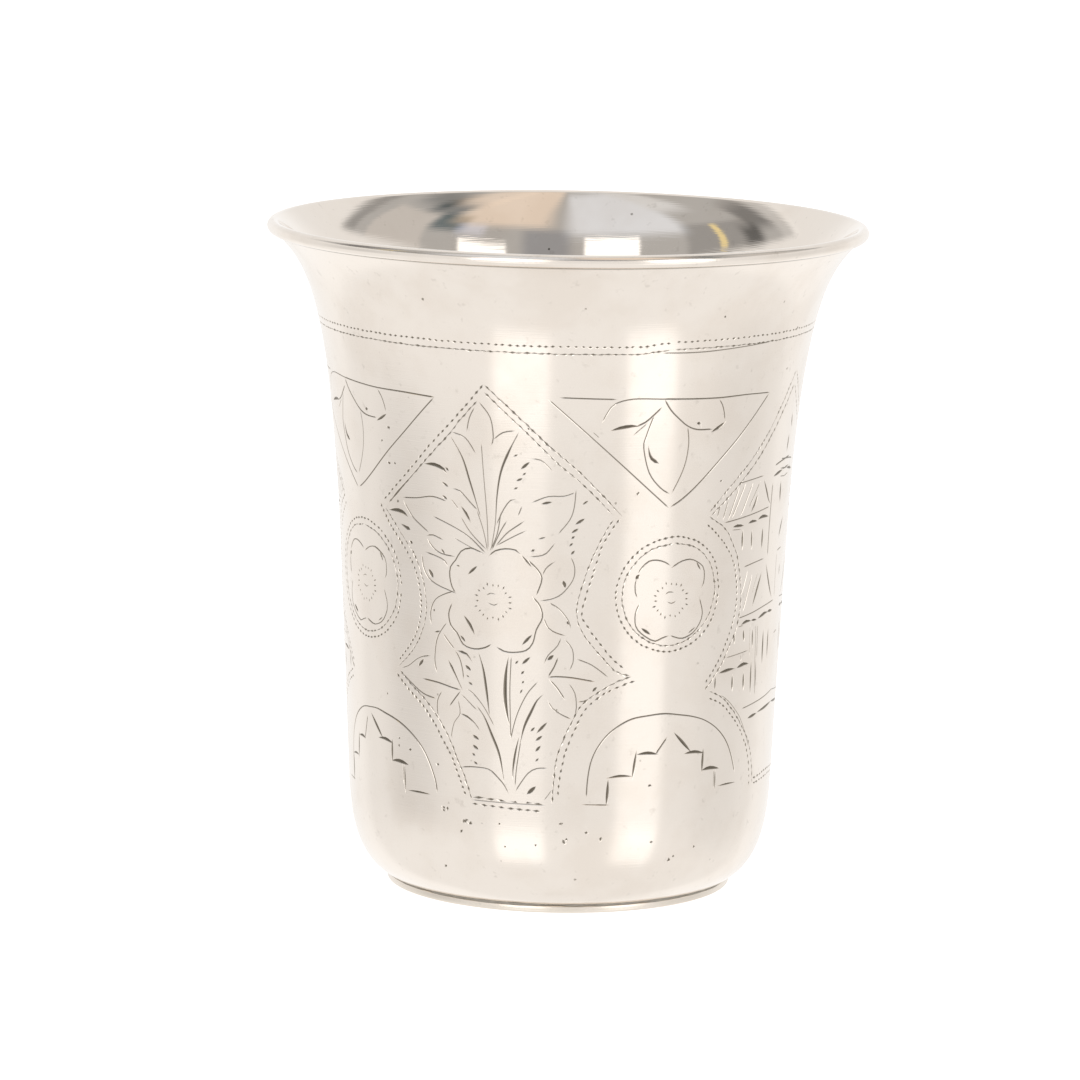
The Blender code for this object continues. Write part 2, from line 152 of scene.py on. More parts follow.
# Widths of the graver's strokes, in millimetres
HAIR = 0.17
FINE = 0.20
FIRM = 0.30
BROAD = 0.42
GOUGE = 0.52


class Swell(Enum):
    """Where a cut is at its widest."""

    EVEN = "even"
    MIDDLE = "middle"
    START = "start"

    def share(self, along: float) -> float:
        """Tell how much of its full width a cut has at a place.

        Args:
            along: The place, from 0 at the cut's start to 1 at its end.

        Returns:
            The share of the full width.
        """
        fullness, least, peak, thinning = 0.8, 0.3, 0.22, 0.75
        if self is Swell.EVEN:
            return 1.0
        if self is Swell.MIDDLE:
            return max(math.sin(math.pi * along) ** fullness, least)
        return min(along / peak, ((1.0 - along) / (1.0 - peak)) ** thinning)


@dataclass(frozen=True)
class Cut:
    """One stroke of the graver: a V groove along a smooth line, which runs out to nothing at both ends."""

    width: float
    points: tuple[Point, ...]
    swell: Swell = Swell.EVEN
    step: float = 0.55
    run_out: float = 0.45

    def route(self) -> list[tuple[float, float, float]]:
        """Follow the bottom of the groove.

        Returns:
            Points along it, each with half the groove's width there.
        """
        line = smooth_route(list(self.points), self.step)
        lengths = lengths_along(line)
        total = lengths[-1]
        route = []
        for (x, y), length in zip(line, lengths):
            rise = min(length, total - length) / self.run_out
            hair = min(self.width, HAIR) * min(1.0, rise)
            full = self.width * self.swell.share(length / total) * min(1.0, rise * 2)
            route.append((x, y, max(hair, full) / 2))
        return route


@dataclass(frozen=True)
class Dent:
    """One small blow of a punch: a pit with four sides, longer than wide."""

    centre: Point
    along: Point
    half_length: float
    half_width: float


@dataclass(frozen=True)
class Row:
    """A row of punched dots or dashes along a smooth line, with or without a guide line through it.

    A dash is drawn longer and broader than it looks, because its shallow ends stay bright.
    """

    points: tuple[Point, ...]
    pitch: float
    dash: float
    width: float
    line: float = 0.0
    longer: float = 1.75
    broader: float = 1.50
    uneven_place: float = 0.10
    uneven_turn: float = 0.16
    uneven_side: float = 0.03
    uneven_size: float = 0.14

    def dents(self, chance: Random) -> list[Dent]:
        """Set the blows of the punch, a little unevenly as by hand.

        Args:
            chance: The source of the unevenness.

        Returns:
            The dents in their order along the row.
        """
        line = smooth_route(list(self.points), self.pitch / 4)
        lengths = lengths_along(line)
        marks = []
        for index in range(int(lengths[-1] / self.pitch)):
            place = (index + 0.5 + chance.uniform(-self.uneven_place, self.uneven_place)) * self.pitch
            at = min(max(bisect_left(lengths, place), 1), len(line) - 1)
            start, end = Vector(line[at - 1]), Vector(line[at])
            share = (place - lengths[at - 1]) / max(lengths[at] - lengths[at - 1], SHORTEST)
            along = (end - start).normalized()
            along.rotate(Matrix.Rotation(chance.uniform(-self.uneven_turn, self.uneven_turn), 2))
            aside = along.orthogonal() * chance.uniform(-self.uneven_side, self.uneven_side)
            middle = start.lerp(end, share) + aside
            grow = chance.uniform(1.0 - self.uneven_size, 1.0 + self.uneven_size)
            marks.append(Dent(tuple(middle), tuple(along), self.dash * self.longer / 2 * grow,
                              self.width * self.broader / 2 * grow))
        return marks


def shaped(one: Cut | Row, move: Callable[[float, float], Point]) -> Cut | Row:
    """The same cut or row with every point moved."""
    return replace(one, points=tuple(move(x, y) for x, y in one.points))


def cut(width: float, *points: Point) -> Cut:
    """A cut of the given width through the given points."""
    return Cut(width, points)


def lens(width: float, *points: Point) -> Cut:
    """A cut that swells in its middle."""
    return Cut(width, points, Swell.MIDDLE)


def drop(width: float, *points: Point) -> Cut:
    """A cut that starts broad and thins out."""
    return Cut(width, points, Swell.START)


def longer(one: Cut, reach: float) -> Cut:
    """Run a cut on a little at both ends, so that it meets its neighbours.

    Args:
        one: The cut.
        reach: How far it is run on.

    Returns:
        The longer cut.
    """
    ends = []
    for end, next_to in ((one.points[0], one.points[1]), (one.points[-1], one.points[-2])):
        way = (Vector(end) - Vector(next_to)).normalized()
        ends.append((end[0] + way.x * reach, end[1] + way.y * reach))
    return replace(one, points=(ends[0], *one.points[1:-1], ends[1]))


@dataclass(frozen=True)
class Drawing:
    """Part of the engraving, laid out flat: X across from its own middle line, Y up from the table."""

    cuts: tuple[Cut, ...] = ()
    rows: tuple[Row, ...] = ()

    def shaped(self, move: Callable[[float, float], Point]) -> "Drawing":
        """The same drawing with every point moved."""
        return Drawing(tuple(shaped(one, move) for one in self.cuts),
                       tuple(shaped(one, move) for one in self.rows))

    def moved(self, across: float, up: float = 0.0) -> "Drawing":
        """The same drawing in another place."""
        return self.shaped(lambda x, y: (x + across, y + up))

    def mirrored(self, top: Point, bottom: Point) -> "Drawing":
        """The drawing's mirror image across the leaning line from top to bottom."""
        lean = (bottom[0] - top[0]) / (top[1] - bottom[1])
        return self.shaped(lambda x, y: (2 * (top[0] + (top[1] - y) * lean) - x, y))

    def __add__(self, other: "Drawing") -> "Drawing":
        """Both drawings as one."""
        return Drawing(self.cuts + other.cuts, self.rows + other.rows)


def circle(centre: Point, radius: float, start: float = 0.0) -> tuple[Point, ...]:
    """Points once round a circle, 30 degrees apart, the first one repeated at the end."""
    turns = [math.radians(start + 30 * index) for index in range(13)]
    return tuple((centre[0] + radius * math.cos(turn), centre[1] + radius * math.sin(turn)) for turn in turns)


def eye(centre: Point, across: float, up: float) -> tuple[Cut, ...]:
    """Draw the middle of a flower: a ring of short ticks and two small curls inside it.

    Args:
        centre: The middle of the ring.
        across: The ring's radius across.
        up: The ring's radius upwards.

    Returns:
        The cuts.
    """
    count, tick_width, tick_ends, unevenness, swing = 20, 0.26, (0.84, 1.10), 0.07, 2.4
    ticks = []
    for index in range(count):
        turn = math.tau * index / count
        reach = 1.0 + unevenness * math.sin(index * swing)
        inner, outer = (Vector((math.cos(turn) * across, math.sin(turn) * up)) * reach * share
                        for share in tick_ends)
        ticks.append(lens(tick_width, (centre[0] + inner.x, centre[1] + inner.y),
                          (centre[0] + outer.x, centre[1] + outer.y)))
    curls = [cut(HAIR, *((centre[0] + x, centre[1] + y) for x, y in curl))
             for curl in (((-0.8, 0.7), (-0.3, 1.0), (0.4, 0.9)), ((-0.6, -0.1), (0.1, -0.4), (0.7, -0.1)))]
    return (*ticks, *curls)


class FlowerPanel:
    """The panel with a four-lobed flower on its stems, under a plume of leaves."""

    plume = (
        cut(FINE, (-2.1, 61.2), (-2.8, 59.8), (-3.2, 58.0)),
        cut(FINE, (-1.7, 61.9), (-0.4, 60.0), (-0.1, 57.6), (-0.4, 56.6)),
        cut(FINE, (-5.2, 58.0), (-3.4, 57.4), (-2.1, 55.5)),
        lens(FIRM, (-5.2, 57.5), (-3.8, 55.0), (-3.0, 52.4), (-2.4, 50.4), (-1.7, 48.0)),
        cut(HAIR, (-1.5, 57.0), (-1.3, 53.2), (-0.95, 48.0), (-0.85, 44.2)),
        cut(FINE, (-0.1, 57.4), (1.0, 58.3), (2.4, 58.6)),
        drop(0.36, (2.8, 58.5), (1.6, 56.0), (0.7, 53.6), (0.24, 50.8), (0.0, 47.4), (-0.5, 44.3)),
        cut(HAIR, (-0.9, 44.0), (-1.4, 46.5), (-2.2, 49.0)),
        cut(FINE, (-0.7, 44.0), (0.2, 46.1), (0.7, 49.0)),
        cut(FINE, (-0.5, 44.1), (0.6, 46.5), (1.4, 47.9)),
        cut(FINE, (0.0, 44.7), (1.3, 46.3), (2.4, 47.2), (3.5, 48.0)),
        cut(HAIR, (0.1, 44.8), (2.1, 46.0), (3.6, 46.8)),
        cut(FINE, (-1.1, 43.8), (-3.0, 45.5), (-5.0, 46.6), (-7.9, 47.7)),
        cut(HAIR, (-1.0, 44.2), (-3.0, 46.2), (-4.2, 48.0)),
        cut(HAIR, (-1.2, 43.7), (-3.0, 44.4), (-5.2, 45.4)),
        cut(FINE, (-5.2, 51.2), (-4.2, 51.0), (-3.0, 49.8), (-2.0, 48.8)),
        lens(0.38, (-4.2, 49.3), (-3.5, 48.4), (-2.9, 47.3)),
        cut(HAIR, (-5.4, 50.0), (-4.3, 48.7)),
        cut(HAIR, (4.0, 55.3), (5.2, 55.2), (6.6, 53.8)),
        cut(FINE, (0.1, 47.2), (1.0, 49.2), (1.8, 50.3), (2.5, 50.5)),
        cut(FINE, (3.1, 49.7), (2.6, 48.4)),
    )
    side_leaves = (
        cut(FINE, (-12.2, 49.4), (-10.0, 49.6), (-7.8, 50.0), (-5.9, 49.6)),
        cut(FINE, (-12.1, 49.0), (-10.8, 47.3), (-9.6, 46.4), (-8.4, 45.6)),
        lens(GOUGE, (-8.8, 53.8), (-7.4, 53.85), (-6.2, 53.4), (-5.7, 52.8)),
        lens(GOUGE, (-14.6, 47.6), (-13.0, 47.76), (-12.0, 47.5), (-11.4, 47.1)),
        drop(GOUGE, (-11.1, 45.6), (-12.7, 46.2)),
        lens(BROAD, (-11.4, 44.3), (-10.8, 44.0)),
        cut(FINE, (4.1, 50.1), (6.0, 50.9), (7.8, 51.0), (9.1, 51.5)),
        cut(FINE, (9.1, 52.0), (8.9, 49.6), (8.4, 48.1), (7.1, 46.4)),
        cut(FINE, (6.9, 45.5), (5.9, 44.2), (5.0, 43.8), (3.9, 43.7)),
        cut(FINE, (-8.8, 45.2), (-7.9, 45.4), (-6.4, 44.9)),
        cut(FINE, (-8.7, 44.9), (-8.0, 44.0), (-6.8, 43.3), (-4.9, 43.1)),
        cut(FINE, (-9.1, 43.3), (-7.4, 42.9), (-6.4, 42.5), (-5.9, 41.8)),
        cut(FINE, (-9.5, 43.0), (-9.3, 41.4), (-8.6, 40.2), (-7.4, 39.5), (-5.8, 39.0), (-4.8, 38.7)),
        cut(FINE, (-5.0, 39.0), (-6.2, 38.6), (-7.7, 37.7), (-8.4, 36.2), (-8.3, 34.6)),
        cut(FINE, (-6.1, 35.2), (-7.0, 34.0), (-7.6, 32.8), (-7.9, 30.5), (-7.6, 28.9)),
        cut(FINE, (5.4, 41.4), (5.8, 42.3), (6.4, 42.9), (7.0, 43.3)),
        cut(FINE, (8.6, 43.9), (9.1, 42.5), (8.9, 41.0), (7.7, 39.4), (6.4, 38.7), (5.1, 38.5)),
        cut(FINE, (6.1, 38.4), (7.4, 37.6), (8.5, 36.2), (8.8, 35.1)),
        cut(FINE, (5.6, 36.6), (6.2, 35.3), (7.2, 34.7), (8.3, 34.4)),
        cut(FINE, (7.7, 34.3), (7.3, 33.2), (6.2, 32.0), (5.7, 30.9)),
        cut(FINE, (8.0, 34.1), (9.0, 32.8), (9.1, 31.2), (8.6, 30.1)),
    )
    flower = (
        cut(0.24, (-1.5, 43.8), (-3.0, 44.3), (-4.2, 43.8), (-4.9, 42.7), (-5.6, 41.8), (-5.7, 40.6),
            (-5.4, 39.4), (-4.9, 38.7)),
        cut(0.24, (-5.4, 37.6), (-5.9, 36.2), (-5.6, 34.8), (-4.8, 34.0), (-4.0, 32.7), (-2.6, 32.3),
            (-1.2, 32.6), (-0.4, 33.1)),
        cut(0.24, (4.3, 39.0), (5.2, 37.9), (5.5, 36.5), (4.8, 35.0), (4.4, 33.4), (3.6, 32.5),
            (2.1, 32.2), (1.0, 32.3), (0.1, 32.8)),
        cut(0.24, (-0.8, 43.5), (0.0, 44.2), (1.2, 44.5), (2.4, 44.4), (3.0, 43.9)),
        lens(FIRM, (2.9, 44.0), (3.6, 43.2), (4.3, 42.4)),
        cut(0.24, (3.7, 43.4), (4.9, 42.2), (5.4, 41.2), (5.1, 40.0), (4.7, 39.0)),
        lens(BROAD, (-3.4, 41.1), (-2.1, 42.3)),
        lens(BROAD, (-4.0, 36.3), (-3.1, 35.1), (-2.5, 33.9)),
        lens(0.36, (-4.4, 33.8), (-3.7, 33.0)),
        lens(BROAD, (3.1, 33.1), (4.4, 34.5)),
    )
    stems = (
        lens(0.38, (-2.1, 32.0), (-1.5, 30.0), (-1.1, 27.5), (-0.7, 24.3)),
        lens(GOUGE, (1.6, 31.9), (1.25, 29.5), (1.2, 26.8), (1.5, 24.5), (1.8, 23.3)),
        cut(FINE, (1.9, 31.9), (1.75, 28.0), (1.8, 25.0), (1.9, 21.8)),
        cut(HAIR, (-3.7, 27.5), (-2.7, 26.9), (-1.4, 25.4), (-0.1, 23.2)),
        cut(HAIR, (-4.4, 26.8), (-3.0, 25.6), (-2.1, 24.8)),
        lens(0.38, (-2.4, 25.6), (-1.4, 24.3), (-0.5, 22.3), (0.5, 19.8), (1.1, 16.5)),
        lens(0.34, (2.9, 22.3), (2.4, 20.0), (2.15, 18.0), (2.2, 16.9)),
        cut(FINE, (5.1, 28.9), (3.8, 27.3), (2.7, 25.0), (2.1, 22.9), (1.9, 21.7)),
        lens(0.40, (5.9, 27.5), (5.0, 26.6), (4.3, 25.2), (3.5, 23.4), (3.0, 21.3)),
        cut(FINE, (3.1, 21.8), (2.75, 19.5), (2.55, 18.0), (2.4, 16.0)),
        drop(BROAD, (-4.9, 31.9), (-3.6, 31.6), (-2.8, 30.6)),
        cut(FINE, (-5.2, 32.0), (-4.5, 31.0), (-4.1, 29.5), (-4.0, 28.4)),
        cut(FINE, (-6.8, 33.9), (-5.8, 32.7), (-5.0, 31.9)),
    )
    lower_leaves = (
        cut(0.24, (-9.8, 28.0), (-7.5, 27.8), (-5.6, 27.4), (-4.3, 27.2)),
        cut(0.24, (-4.3, 27.2), (-5.1, 26.2), (-6.0, 25.0)),
        drop(0.36, (-6.1, 30.8), (-5.1, 29.0), (-4.1, 27.1)),
        cut(FINE, (-13.2, 28.8), (-12.0, 29.2), (-10.6, 30.2), (-9.5, 30.7), (-8.4, 30.9)),
        cut(FINE, (-13.0, 28.2), (-11.5, 27.2), (-9.7, 26.2), (-7.8, 25.8)),
        cut(FINE, (-6.9, 26.9), (-7.6, 25.6), (-7.6, 24.0), (-7.3, 23.3)),
        cut(HAIR, (-4.8, 26.2), (-4.5, 24.4), (-5.3, 23.2), (-5.7, 21.6), (-5.5, 21.1)),
        drop(0.36, (-4.6, 24.4), (-3.6, 24.1), (-2.5, 23.3), (-1.9, 22.5)),
        cut(FINE, (-4.5, 17.9), (-3.2, 18.1), (-0.9, 18.0), (0.3, 17.1), (1.1, 16.2), (1.7, 15.1)),
        cut(FINE, (2.4, 15.4), (3.0, 16.4), (4.0, 17.8), (5.0, 18.4), (6.4, 18.5)),
        cut(FINE, (9.4, 31.7), (11.3, 30.9), (13.3, 29.4)),
        cut(0.24, (6.2, 29.4), (7.2, 29.5), (9.0, 29.4), (11.8, 28.9)),
        cut(0.24, (6.3, 29.2), (7.2, 28.3), (8.3, 26.7)),
        cut(0.26, (7.4, 31.9), (6.9, 30.6), (6.2, 29.4)),
        cut(FINE, (8.6, 28.8), (9.4, 27.5), (9.6, 25.8), (9.4, 24.8)),
        cut(FINE, (9.7, 26.5), (10.5, 26.6), (11.2, 26.9)),
        cut(FINE, (6.2, 26.7), (6.8, 25.7), (7.8, 25.0), (9.1, 24.4)),
        cut(HAIR, (5.9, 14.6), (6.4, 15.2), (6.9, 16.0)),
    )
    # Short bright cuts beside the stems and in the leaves, from one end to the other
    ticks = (
        (0.34, (-6.0, 53.7), (-5.5, 53.2)), (0.34, (-6.5, 51.9), (-5.6, 51.3)),
        (0.34, (-6.5, 50.3), (-5.8, 49.8)), (0.30, (2.1, 55.5), (2.7, 55.8)),
        (0.42, (2.9, 54.0), (4.0, 55.0)), (0.32, (3.1, 53.3), (3.6, 53.7)),
        (0.34, (2.4, 52.6), (3.2, 53.0)), (0.32, (2.1, 51.6), (2.7, 51.9)),
        (0.40, (5.2, 50.0), (6.5, 50.3)), (0.34, (9.8, 50.0), (10.5, 50.5)),
        (0.44, (9.0, 47.6), (10.2, 48.4)), (0.38, (8.6, 46.6), (9.5, 47.2)),
        (0.38, (8.6, 45.9), (9.1, 46.3)), (0.36, (8.4, 45.0), (8.9, 45.5)),
        (0.38, (8.6, 44.0), (9.1, 44.6)), (0.26, (4.9, 45.8), (5.8, 46.1)),
        (0.38, (4.1, 44.3), (4.6, 44.6)), (0.32, (-6.8, 43.9), (-6.3, 43.2)),
        (0.52, (-8.6, 41.3), (-7.9, 40.2)), (0.34, (-8.0, 36.6), (-7.8, 36.2)),
        (0.26, (-4.9, 42.1), (-4.3, 42.0)), (0.28, (-7.9, 33.8), (-7.0, 34.0)),
        (0.52, (7.8, 41.0), (8.1, 40.1)), (0.42, (8.3, 36.2), (8.6, 35.7)),
        (0.50, (6.1, 31.4), (6.9, 32.1)), (0.42, (-3.8, 30.3), (-3.0, 29.6)),
        (0.28, (-3.7, 29.1), (-3.2, 28.8)), (0.34, (-3.4, 28.3), (-2.8, 27.9)),
        (0.40, (-2.9, 22.0), (-2.0, 21.4)), (0.40, (-2.9, 20.8), (-2.1, 20.2)),
        (0.36, (-3.0, 19.8), (-2.5, 19.4)), (0.36, (-2.8, 18.8), (-2.2, 18.4)),
        (0.46, (-10.4, 29.3), (-9.5, 30.4)), (0.56, (3.8, 15.2), (5.0, 16.3)),
        (0.34, (4.2, 22.8), (4.8, 23.4)), (0.42, (4.9, 22.6), (6.3, 24.1)),
        (0.40, (4.8, 21.7), (5.7, 22.4)), (0.40, (4.8, 20.4), (5.5, 21.2)),
        (0.32, (4.8, 19.2), (5.3, 19.7)), (0.32, (2.3, 30.8), (2.8, 31.3)),
        (0.42, (3.1, 30.8), (4.2, 31.8)), (0.36, (3.0, 29.6), (3.5, 30.1)),
        (0.34, (3.1, 28.5), (3.5, 28.9)), (0.30, (2.9, 27.3), (3.3, 27.9)),
        (0.42, (11.4, 27.7), (12.0, 28.3)), (0.44, (7.2, 25.4), (7.4, 25.6)),
    )
    gables = (
        Row(((-1.0, 63.9), (-4.6, 59.6), (-8.4, 55.6), (-11.8, 52.0), (-16.0, 48.2)), 0.92, 0.50, 0.24),
        Row(((-1.8, 61.9), (-3.8, 59.6), (-5.6, 57.4), (-9.0, 53.8), (-11.0, 51.8), (-14.8, 48.2)),
            0.98, 0.66, 0.25, FINE),
        Row(((-1.0, 63.9), (3.0, 60.0), (6.6, 56.4), (10.0, 53.3), (14.5, 48.4)), 1.00, 0.68, 0.24, FINE),
        Row(((-1.0, 63.0), (1.0, 61.0), (4.0, 58.0), (7.0, 54.9), (10.0, 52.2), (13.4, 48.6)),
            1.00, 0.58, 0.24, HAIR),
    )
    sides = (
        Row(((-16.1, 48.2), (-14.6, 46.0), (-12.4, 43.7), (-10.6, 41.0), (-9.84, 38.0), (-10.0, 34.8),
             (-11.3, 32.2), (-13.6, 29.6)), 0.66, 0.36, 0.24),
        Row(((-15.2, 47.8), (-12.8, 45.2), (-10.5, 42.5), (-9.3, 39.4), (-9.04, 36.0), (-9.9, 33.2),
             (-11.4, 31.0), (-13.9, 28.7)), 0.68, 0.44, 0.24, HAIR),
        Row(((14.1, 48.4), (13.0, 46.6), (12.0, 44.6), (11.1, 41.4), (10.4, 39.0), (10.0, 37.0),
             (10.7, 35.5), (12.2, 33.4), (14.0, 31.3), (15.9, 30.0)), 0.90, 0.48, 0.24),
        Row(((13.4, 48.3), (12.2, 46.2), (11.2, 44.0), (10.5, 42.0), (9.9, 40.0), (9.4, 37.6),
             (9.7, 35.7), (10.7, 33.9), (12.3, 32.0), (14.3, 30.0), (16.0, 29.5)), 0.86, 0.56, 0.24, HAIR),
    )
    foot = (
        Row(((-14.0, 28.0), (-12.3, 26.6), (-10.0, 24.9), (-8.4, 23.2), (-7.0, 21.1), (-5.7, 19.0),
             (-4.9, 17.2), (-4.1, 15.2), (-3.5, 14.1)), 0.72, 0.42, 0.27),
        Row(((-13.5, 28.5), (-11.4, 26.9), (-9.3, 25.4), (-7.7, 23.7), (-6.2, 21.6), (-5.1, 19.3),
             (-4.0, 16.9), (-2.9, 13.8)), 0.87, 0.60, 0.25, FINE),
        Row(((16.0, 29.4), (14.0, 28.7), (12.1, 27.6), (10.3, 26.2), (9.2, 24.3), (8.0, 21.7),
             (7.3, 19.4), (7.1, 17.0), (6.9, 14.2)), 0.96, 0.66, 0.25, HAIR),
        Row(((16.5, 28.9), (14.0, 28.0), (12.2, 27.0), (10.5, 25.4), (9.4, 23.0), (8.5, 20.8),
             (8.0, 18.7), (7.7, 16.7), (7.6, 14.7)), 0.90, 0.50, 0.24),
        Row(((-2.9, 14.5), (2.0, 14.3), (6.8, 14.1)), 1.50, 1.00, 0.25),
        Row(((-3.1, 13.7), (1.0, 13.5), (6.4, 13.2)), 1.10, 0.60, 0.26),
    )

    def drawing(self) -> Drawing:
        """Put the whole panel together with its border.

        Returns:
            The panel.
        """
        edge = (drop(0.34, (-14.6, 48.4), (-11.0, 51.8), (-9.0, 53.8)),
                cut(HAIR, (-3.1, 14.12), (6.2, 14.02)))
        ticks = tuple(lens(width, start, end) for width, start, end in self.ticks)
        cuts = self.plume + self.side_leaves + self.flower + self.stems + self.lower_leaves + ticks + edge
        return Drawing(cuts + eye((-0.3, 38.1), 2.1, 2.1), self.gables + self.sides + self.foot)


class TownPanel:
    """The panel with houses on both sides of a tower."""

    axis_top = (-0.8, 63.9)
    axis_foot = (1.5, 14.0)
    roofs = (
        cut(FINE, (-11.2, 51.4), (-9.0, 51.6), (-6.3, 51.8)),
        lens(0.36, (-6.4, 51.5), (-5.4, 49.9), (-4.7, 48.7), (-4.0, 48.0)),
        cut(FINE, (-12.7, 49.8), (-13.5, 47.2)), cut(FINE, (-11.1, 50.9), (-12.6, 47.2)),
        cut(FINE, (-10.0, 51.3), (-12.0, 47.3)), cut(FINE, (-8.6, 51.2), (-10.5, 47.4)),
        cut(FINE, (-7.0, 51.3), (-9.1, 48.1)), cut(FINE, (-14.0, 49.0), (-14.4, 47.6)),
        lens(BROAD, (-7.3, 49.9), (-7.9, 48.5), (-8.6, 47.6)),
        cut(FINE, (-13.3, 46.9), (-10.0, 47.2), (-7.0, 47.5), (-4.2, 47.8)),
        cut(FINE, (-9.4, 41.1), (-7.0, 41.4), (-4.6, 41.6)),
        lens(0.38, (-4.2, 41.1), (-3.0, 38.6), (-2.2, 37.2), (-1.4, 36.1)),
        cut(HAIR, (-8.4, 40.6), (-9.3, 38.0)), cut(FINE, (-7.4, 40.0), (-8.9, 35.7)),
        cut(HAIR, (-6.0, 40.3), (-7.2, 37.5)), lens(0.46, (-5.0, 40.2), (-5.9, 38.3), (-7.0, 35.9)),
        cut(FINE, (-9.9, 35.0), (-7.0, 35.3), (-4.0, 35.7), (-0.7, 36.0)),
        cut(HAIR, (-11.7, 30.5), (-9.0, 30.7), (-7.2, 30.85)), cut(HAIR, (-8.8, 30.7), (-8.7, 29.7)),
        cut(HAIR, (-12.0, 45.9), (-10.1, 45.8)), cut(HAIR, (-9.7, 33.95), (-8.6, 34.05)),
        cut(FINE, (-8.0, 23.8), (-5.0, 24.1), (-2.0, 24.4), (1.4, 24.8)),
    )
    eaves = (
        lens(0.46, (-11.8, 46.2), (-10.9, 46.3), (-9.6, 46.2)),
        lens(0.44, (-9.0, 46.3), (-8.0, 46.5), (-6.9, 46.4)),
        lens(0.50, (-7.0, 46.5), (-5.8, 46.8), (-4.2, 46.6)),
        lens(0.44, (-9.2, 34.1), (-8.0, 34.45), (-6.8, 34.35)), lens(0.38, (-7.0, 34.4), (-5.6, 34.35)),
        lens(0.46, (-5.5, 34.35), (-3.5, 34.8), (-2.4, 34.75)), lens(0.44, (-2.8, 34.85), (-1.0, 34.8)),
        lens(0.46, (-12.8, 28.75), (-11.0, 29.0), (-9.7, 29.0)),
        lens(0.50, (-9.6, 28.95), (-8.0, 29.3), (-6.8, 29.15)),
        lens(0.44, (-6.5, 22.4), (-5.0, 22.6), (-3.9, 22.75)),
        lens(0.42, (-4.2, 22.75), (-1.0, 23.05), (1.4, 23.3)),
        lens(0.44, (-4.0, 51.3), (-2.5, 51.6), (-1.0, 51.8)), lens(0.30, (-1.2, 51.8), (1.6, 52.05)),
        cut(0.26, (-3.8, 52.6), (-2.0, 52.9), (1.4, 53.2)), cut(FINE, (-0.6, 50.85), (1.5, 51.1)),
    )
    windows = (
        lens(0.40, (-9.9, 45.8), (-9.75, 43.2)), lens(0.36, (-8.05, 45.6), (-7.85, 43.0)),
        lens(0.44, (-5.6, 45.6), (-5.5, 42.7)), lens(0.42, (-8.5, 33.6), (-8.3, 32.0)),
        lens(0.38, (-6.5, 33.5), (-6.3, 30.9)), lens(0.34, (-10.3, 33.2), (-10.2, 32.0)),
        lens(0.46, (-3.6, 33.0), (-3.4, 28.4)), lens(0.40, (-2.05, 33.0), (-1.9, 28.9)),
        lens(0.32, (-13.2, 28.6), (-13.2, 26.7)), lens(0.40, (-10.2, 28.4), (-10.1, 26.2)),
        lens(0.44, (-7.95, 28.4), (-7.8, 26.0)), lens(0.40, (-6.35, 29.7), (-6.1, 25.1)),
        cut(HAIR, (-7.1, 34.0), (-6.9, 30.0)), cut(FINE, (-5.75, 34.0), (-5.3, 28.0), (-4.9, 24.9)),
        cut(FINE, (-5.3, 33.9), (-5.0, 29.5)), lens(0.30, (-5.2, 29.5), (-5.0, 27.5), (-4.85, 25.6)),
    )
    tower = (
        cut(0.26, (-3.9, 50.7), (-3.9, 46.0), (-3.8, 41.7)),
        lens(0.50, (-1.35, 50.6), (-1.2, 49.0), (-1.05, 47.7)),
        lens(0.44, (0.8, 46.0), (0.2, 44.9), (-0.5, 43.4)),
        cut(FINE, (-0.9, 41.9), (1.2, 42.15)),
        lens(0.46, (0.0, 56.1), (0.0, 54.9), (-0.25, 53.7)),
        lens(0.42, (0.35, 58.6), (0.55, 57.5), (0.9, 56.6)),
        cut(HAIR, (-0.75, 41.8), (-0.7, 38.0), (-0.6, 36.2)),
        cut(FINE, (0.1, 31.7), (1.6, 32.0)),
        lens(0.34, (0.9, 40.2), (0.95, 38.6)),
    )
    gables = (
        Row(((-15.6, 48.4), (-13.7, 50.2), (-11.7, 52.0), (-9.2, 54.1), (-6.3, 57.0), (-3.7, 60.1),
             (-0.8, 63.9)), 0.66, 0.44, 0.24, HAIR),
        Row(((-15.3, 48.0), (-13.0, 49.8), (-11.0, 51.4), (-8.0, 54.0), (-5.0, 57.1), (-3.0, 59.4),
             (-0.8, 62.1)), 0.84, 0.60, 0.27, FINE),
    )
    sides = (
        Row(((-15.8, 47.0), (-13.9, 45.4), (-12.0, 43.3), (-11.0, 41.5), (-10.5, 39.8), (-10.2, 37.5),
             (-10.6, 35.0), (-11.8, 32.1), (-13.3, 29.7), (-14.9, 27.8)), 0.70, 0.40, 0.24),
        Row(((-15.5, 47.9), (-13.0, 46.2), (-11.6, 44.4), (-10.5, 42.5), (-9.9, 40.4), (-9.45, 38.0),
             (-9.5, 36.0), (-9.9, 34.0), (-11.0, 32.0), (-12.5, 29.6), (-14.9, 26.9)),
            0.89, 0.62, 0.26, FINE),
    )
    foot = (
        Row(((-14.2, 26.0), (-12.0, 25.0), (-10.2, 23.6), (-8.2, 21.6), (-6.3, 19.0), (-5.3, 16.5),
             (-4.9, 14.0)), 0.84, 0.48, 0.24),
        Row(((-14.2, 26.8), (-12.0, 25.8), (-10.0, 24.2), (-8.0, 22.1), (-6.2, 20.1), (-5.0, 18.0),
             (-4.4, 15.9), (-4.1, 14.0)), 0.90, 0.62, 0.26, HAIR),
        Row(((-3.9, 14.7), (0.0, 15.0), (1.6, 15.0)), 0.90, 0.62, 0.25),
        Row(((-3.9, 14.05), (0.0, 14.3), (1.6, 14.3)), 0.90, 0.50, 0.24),
    )

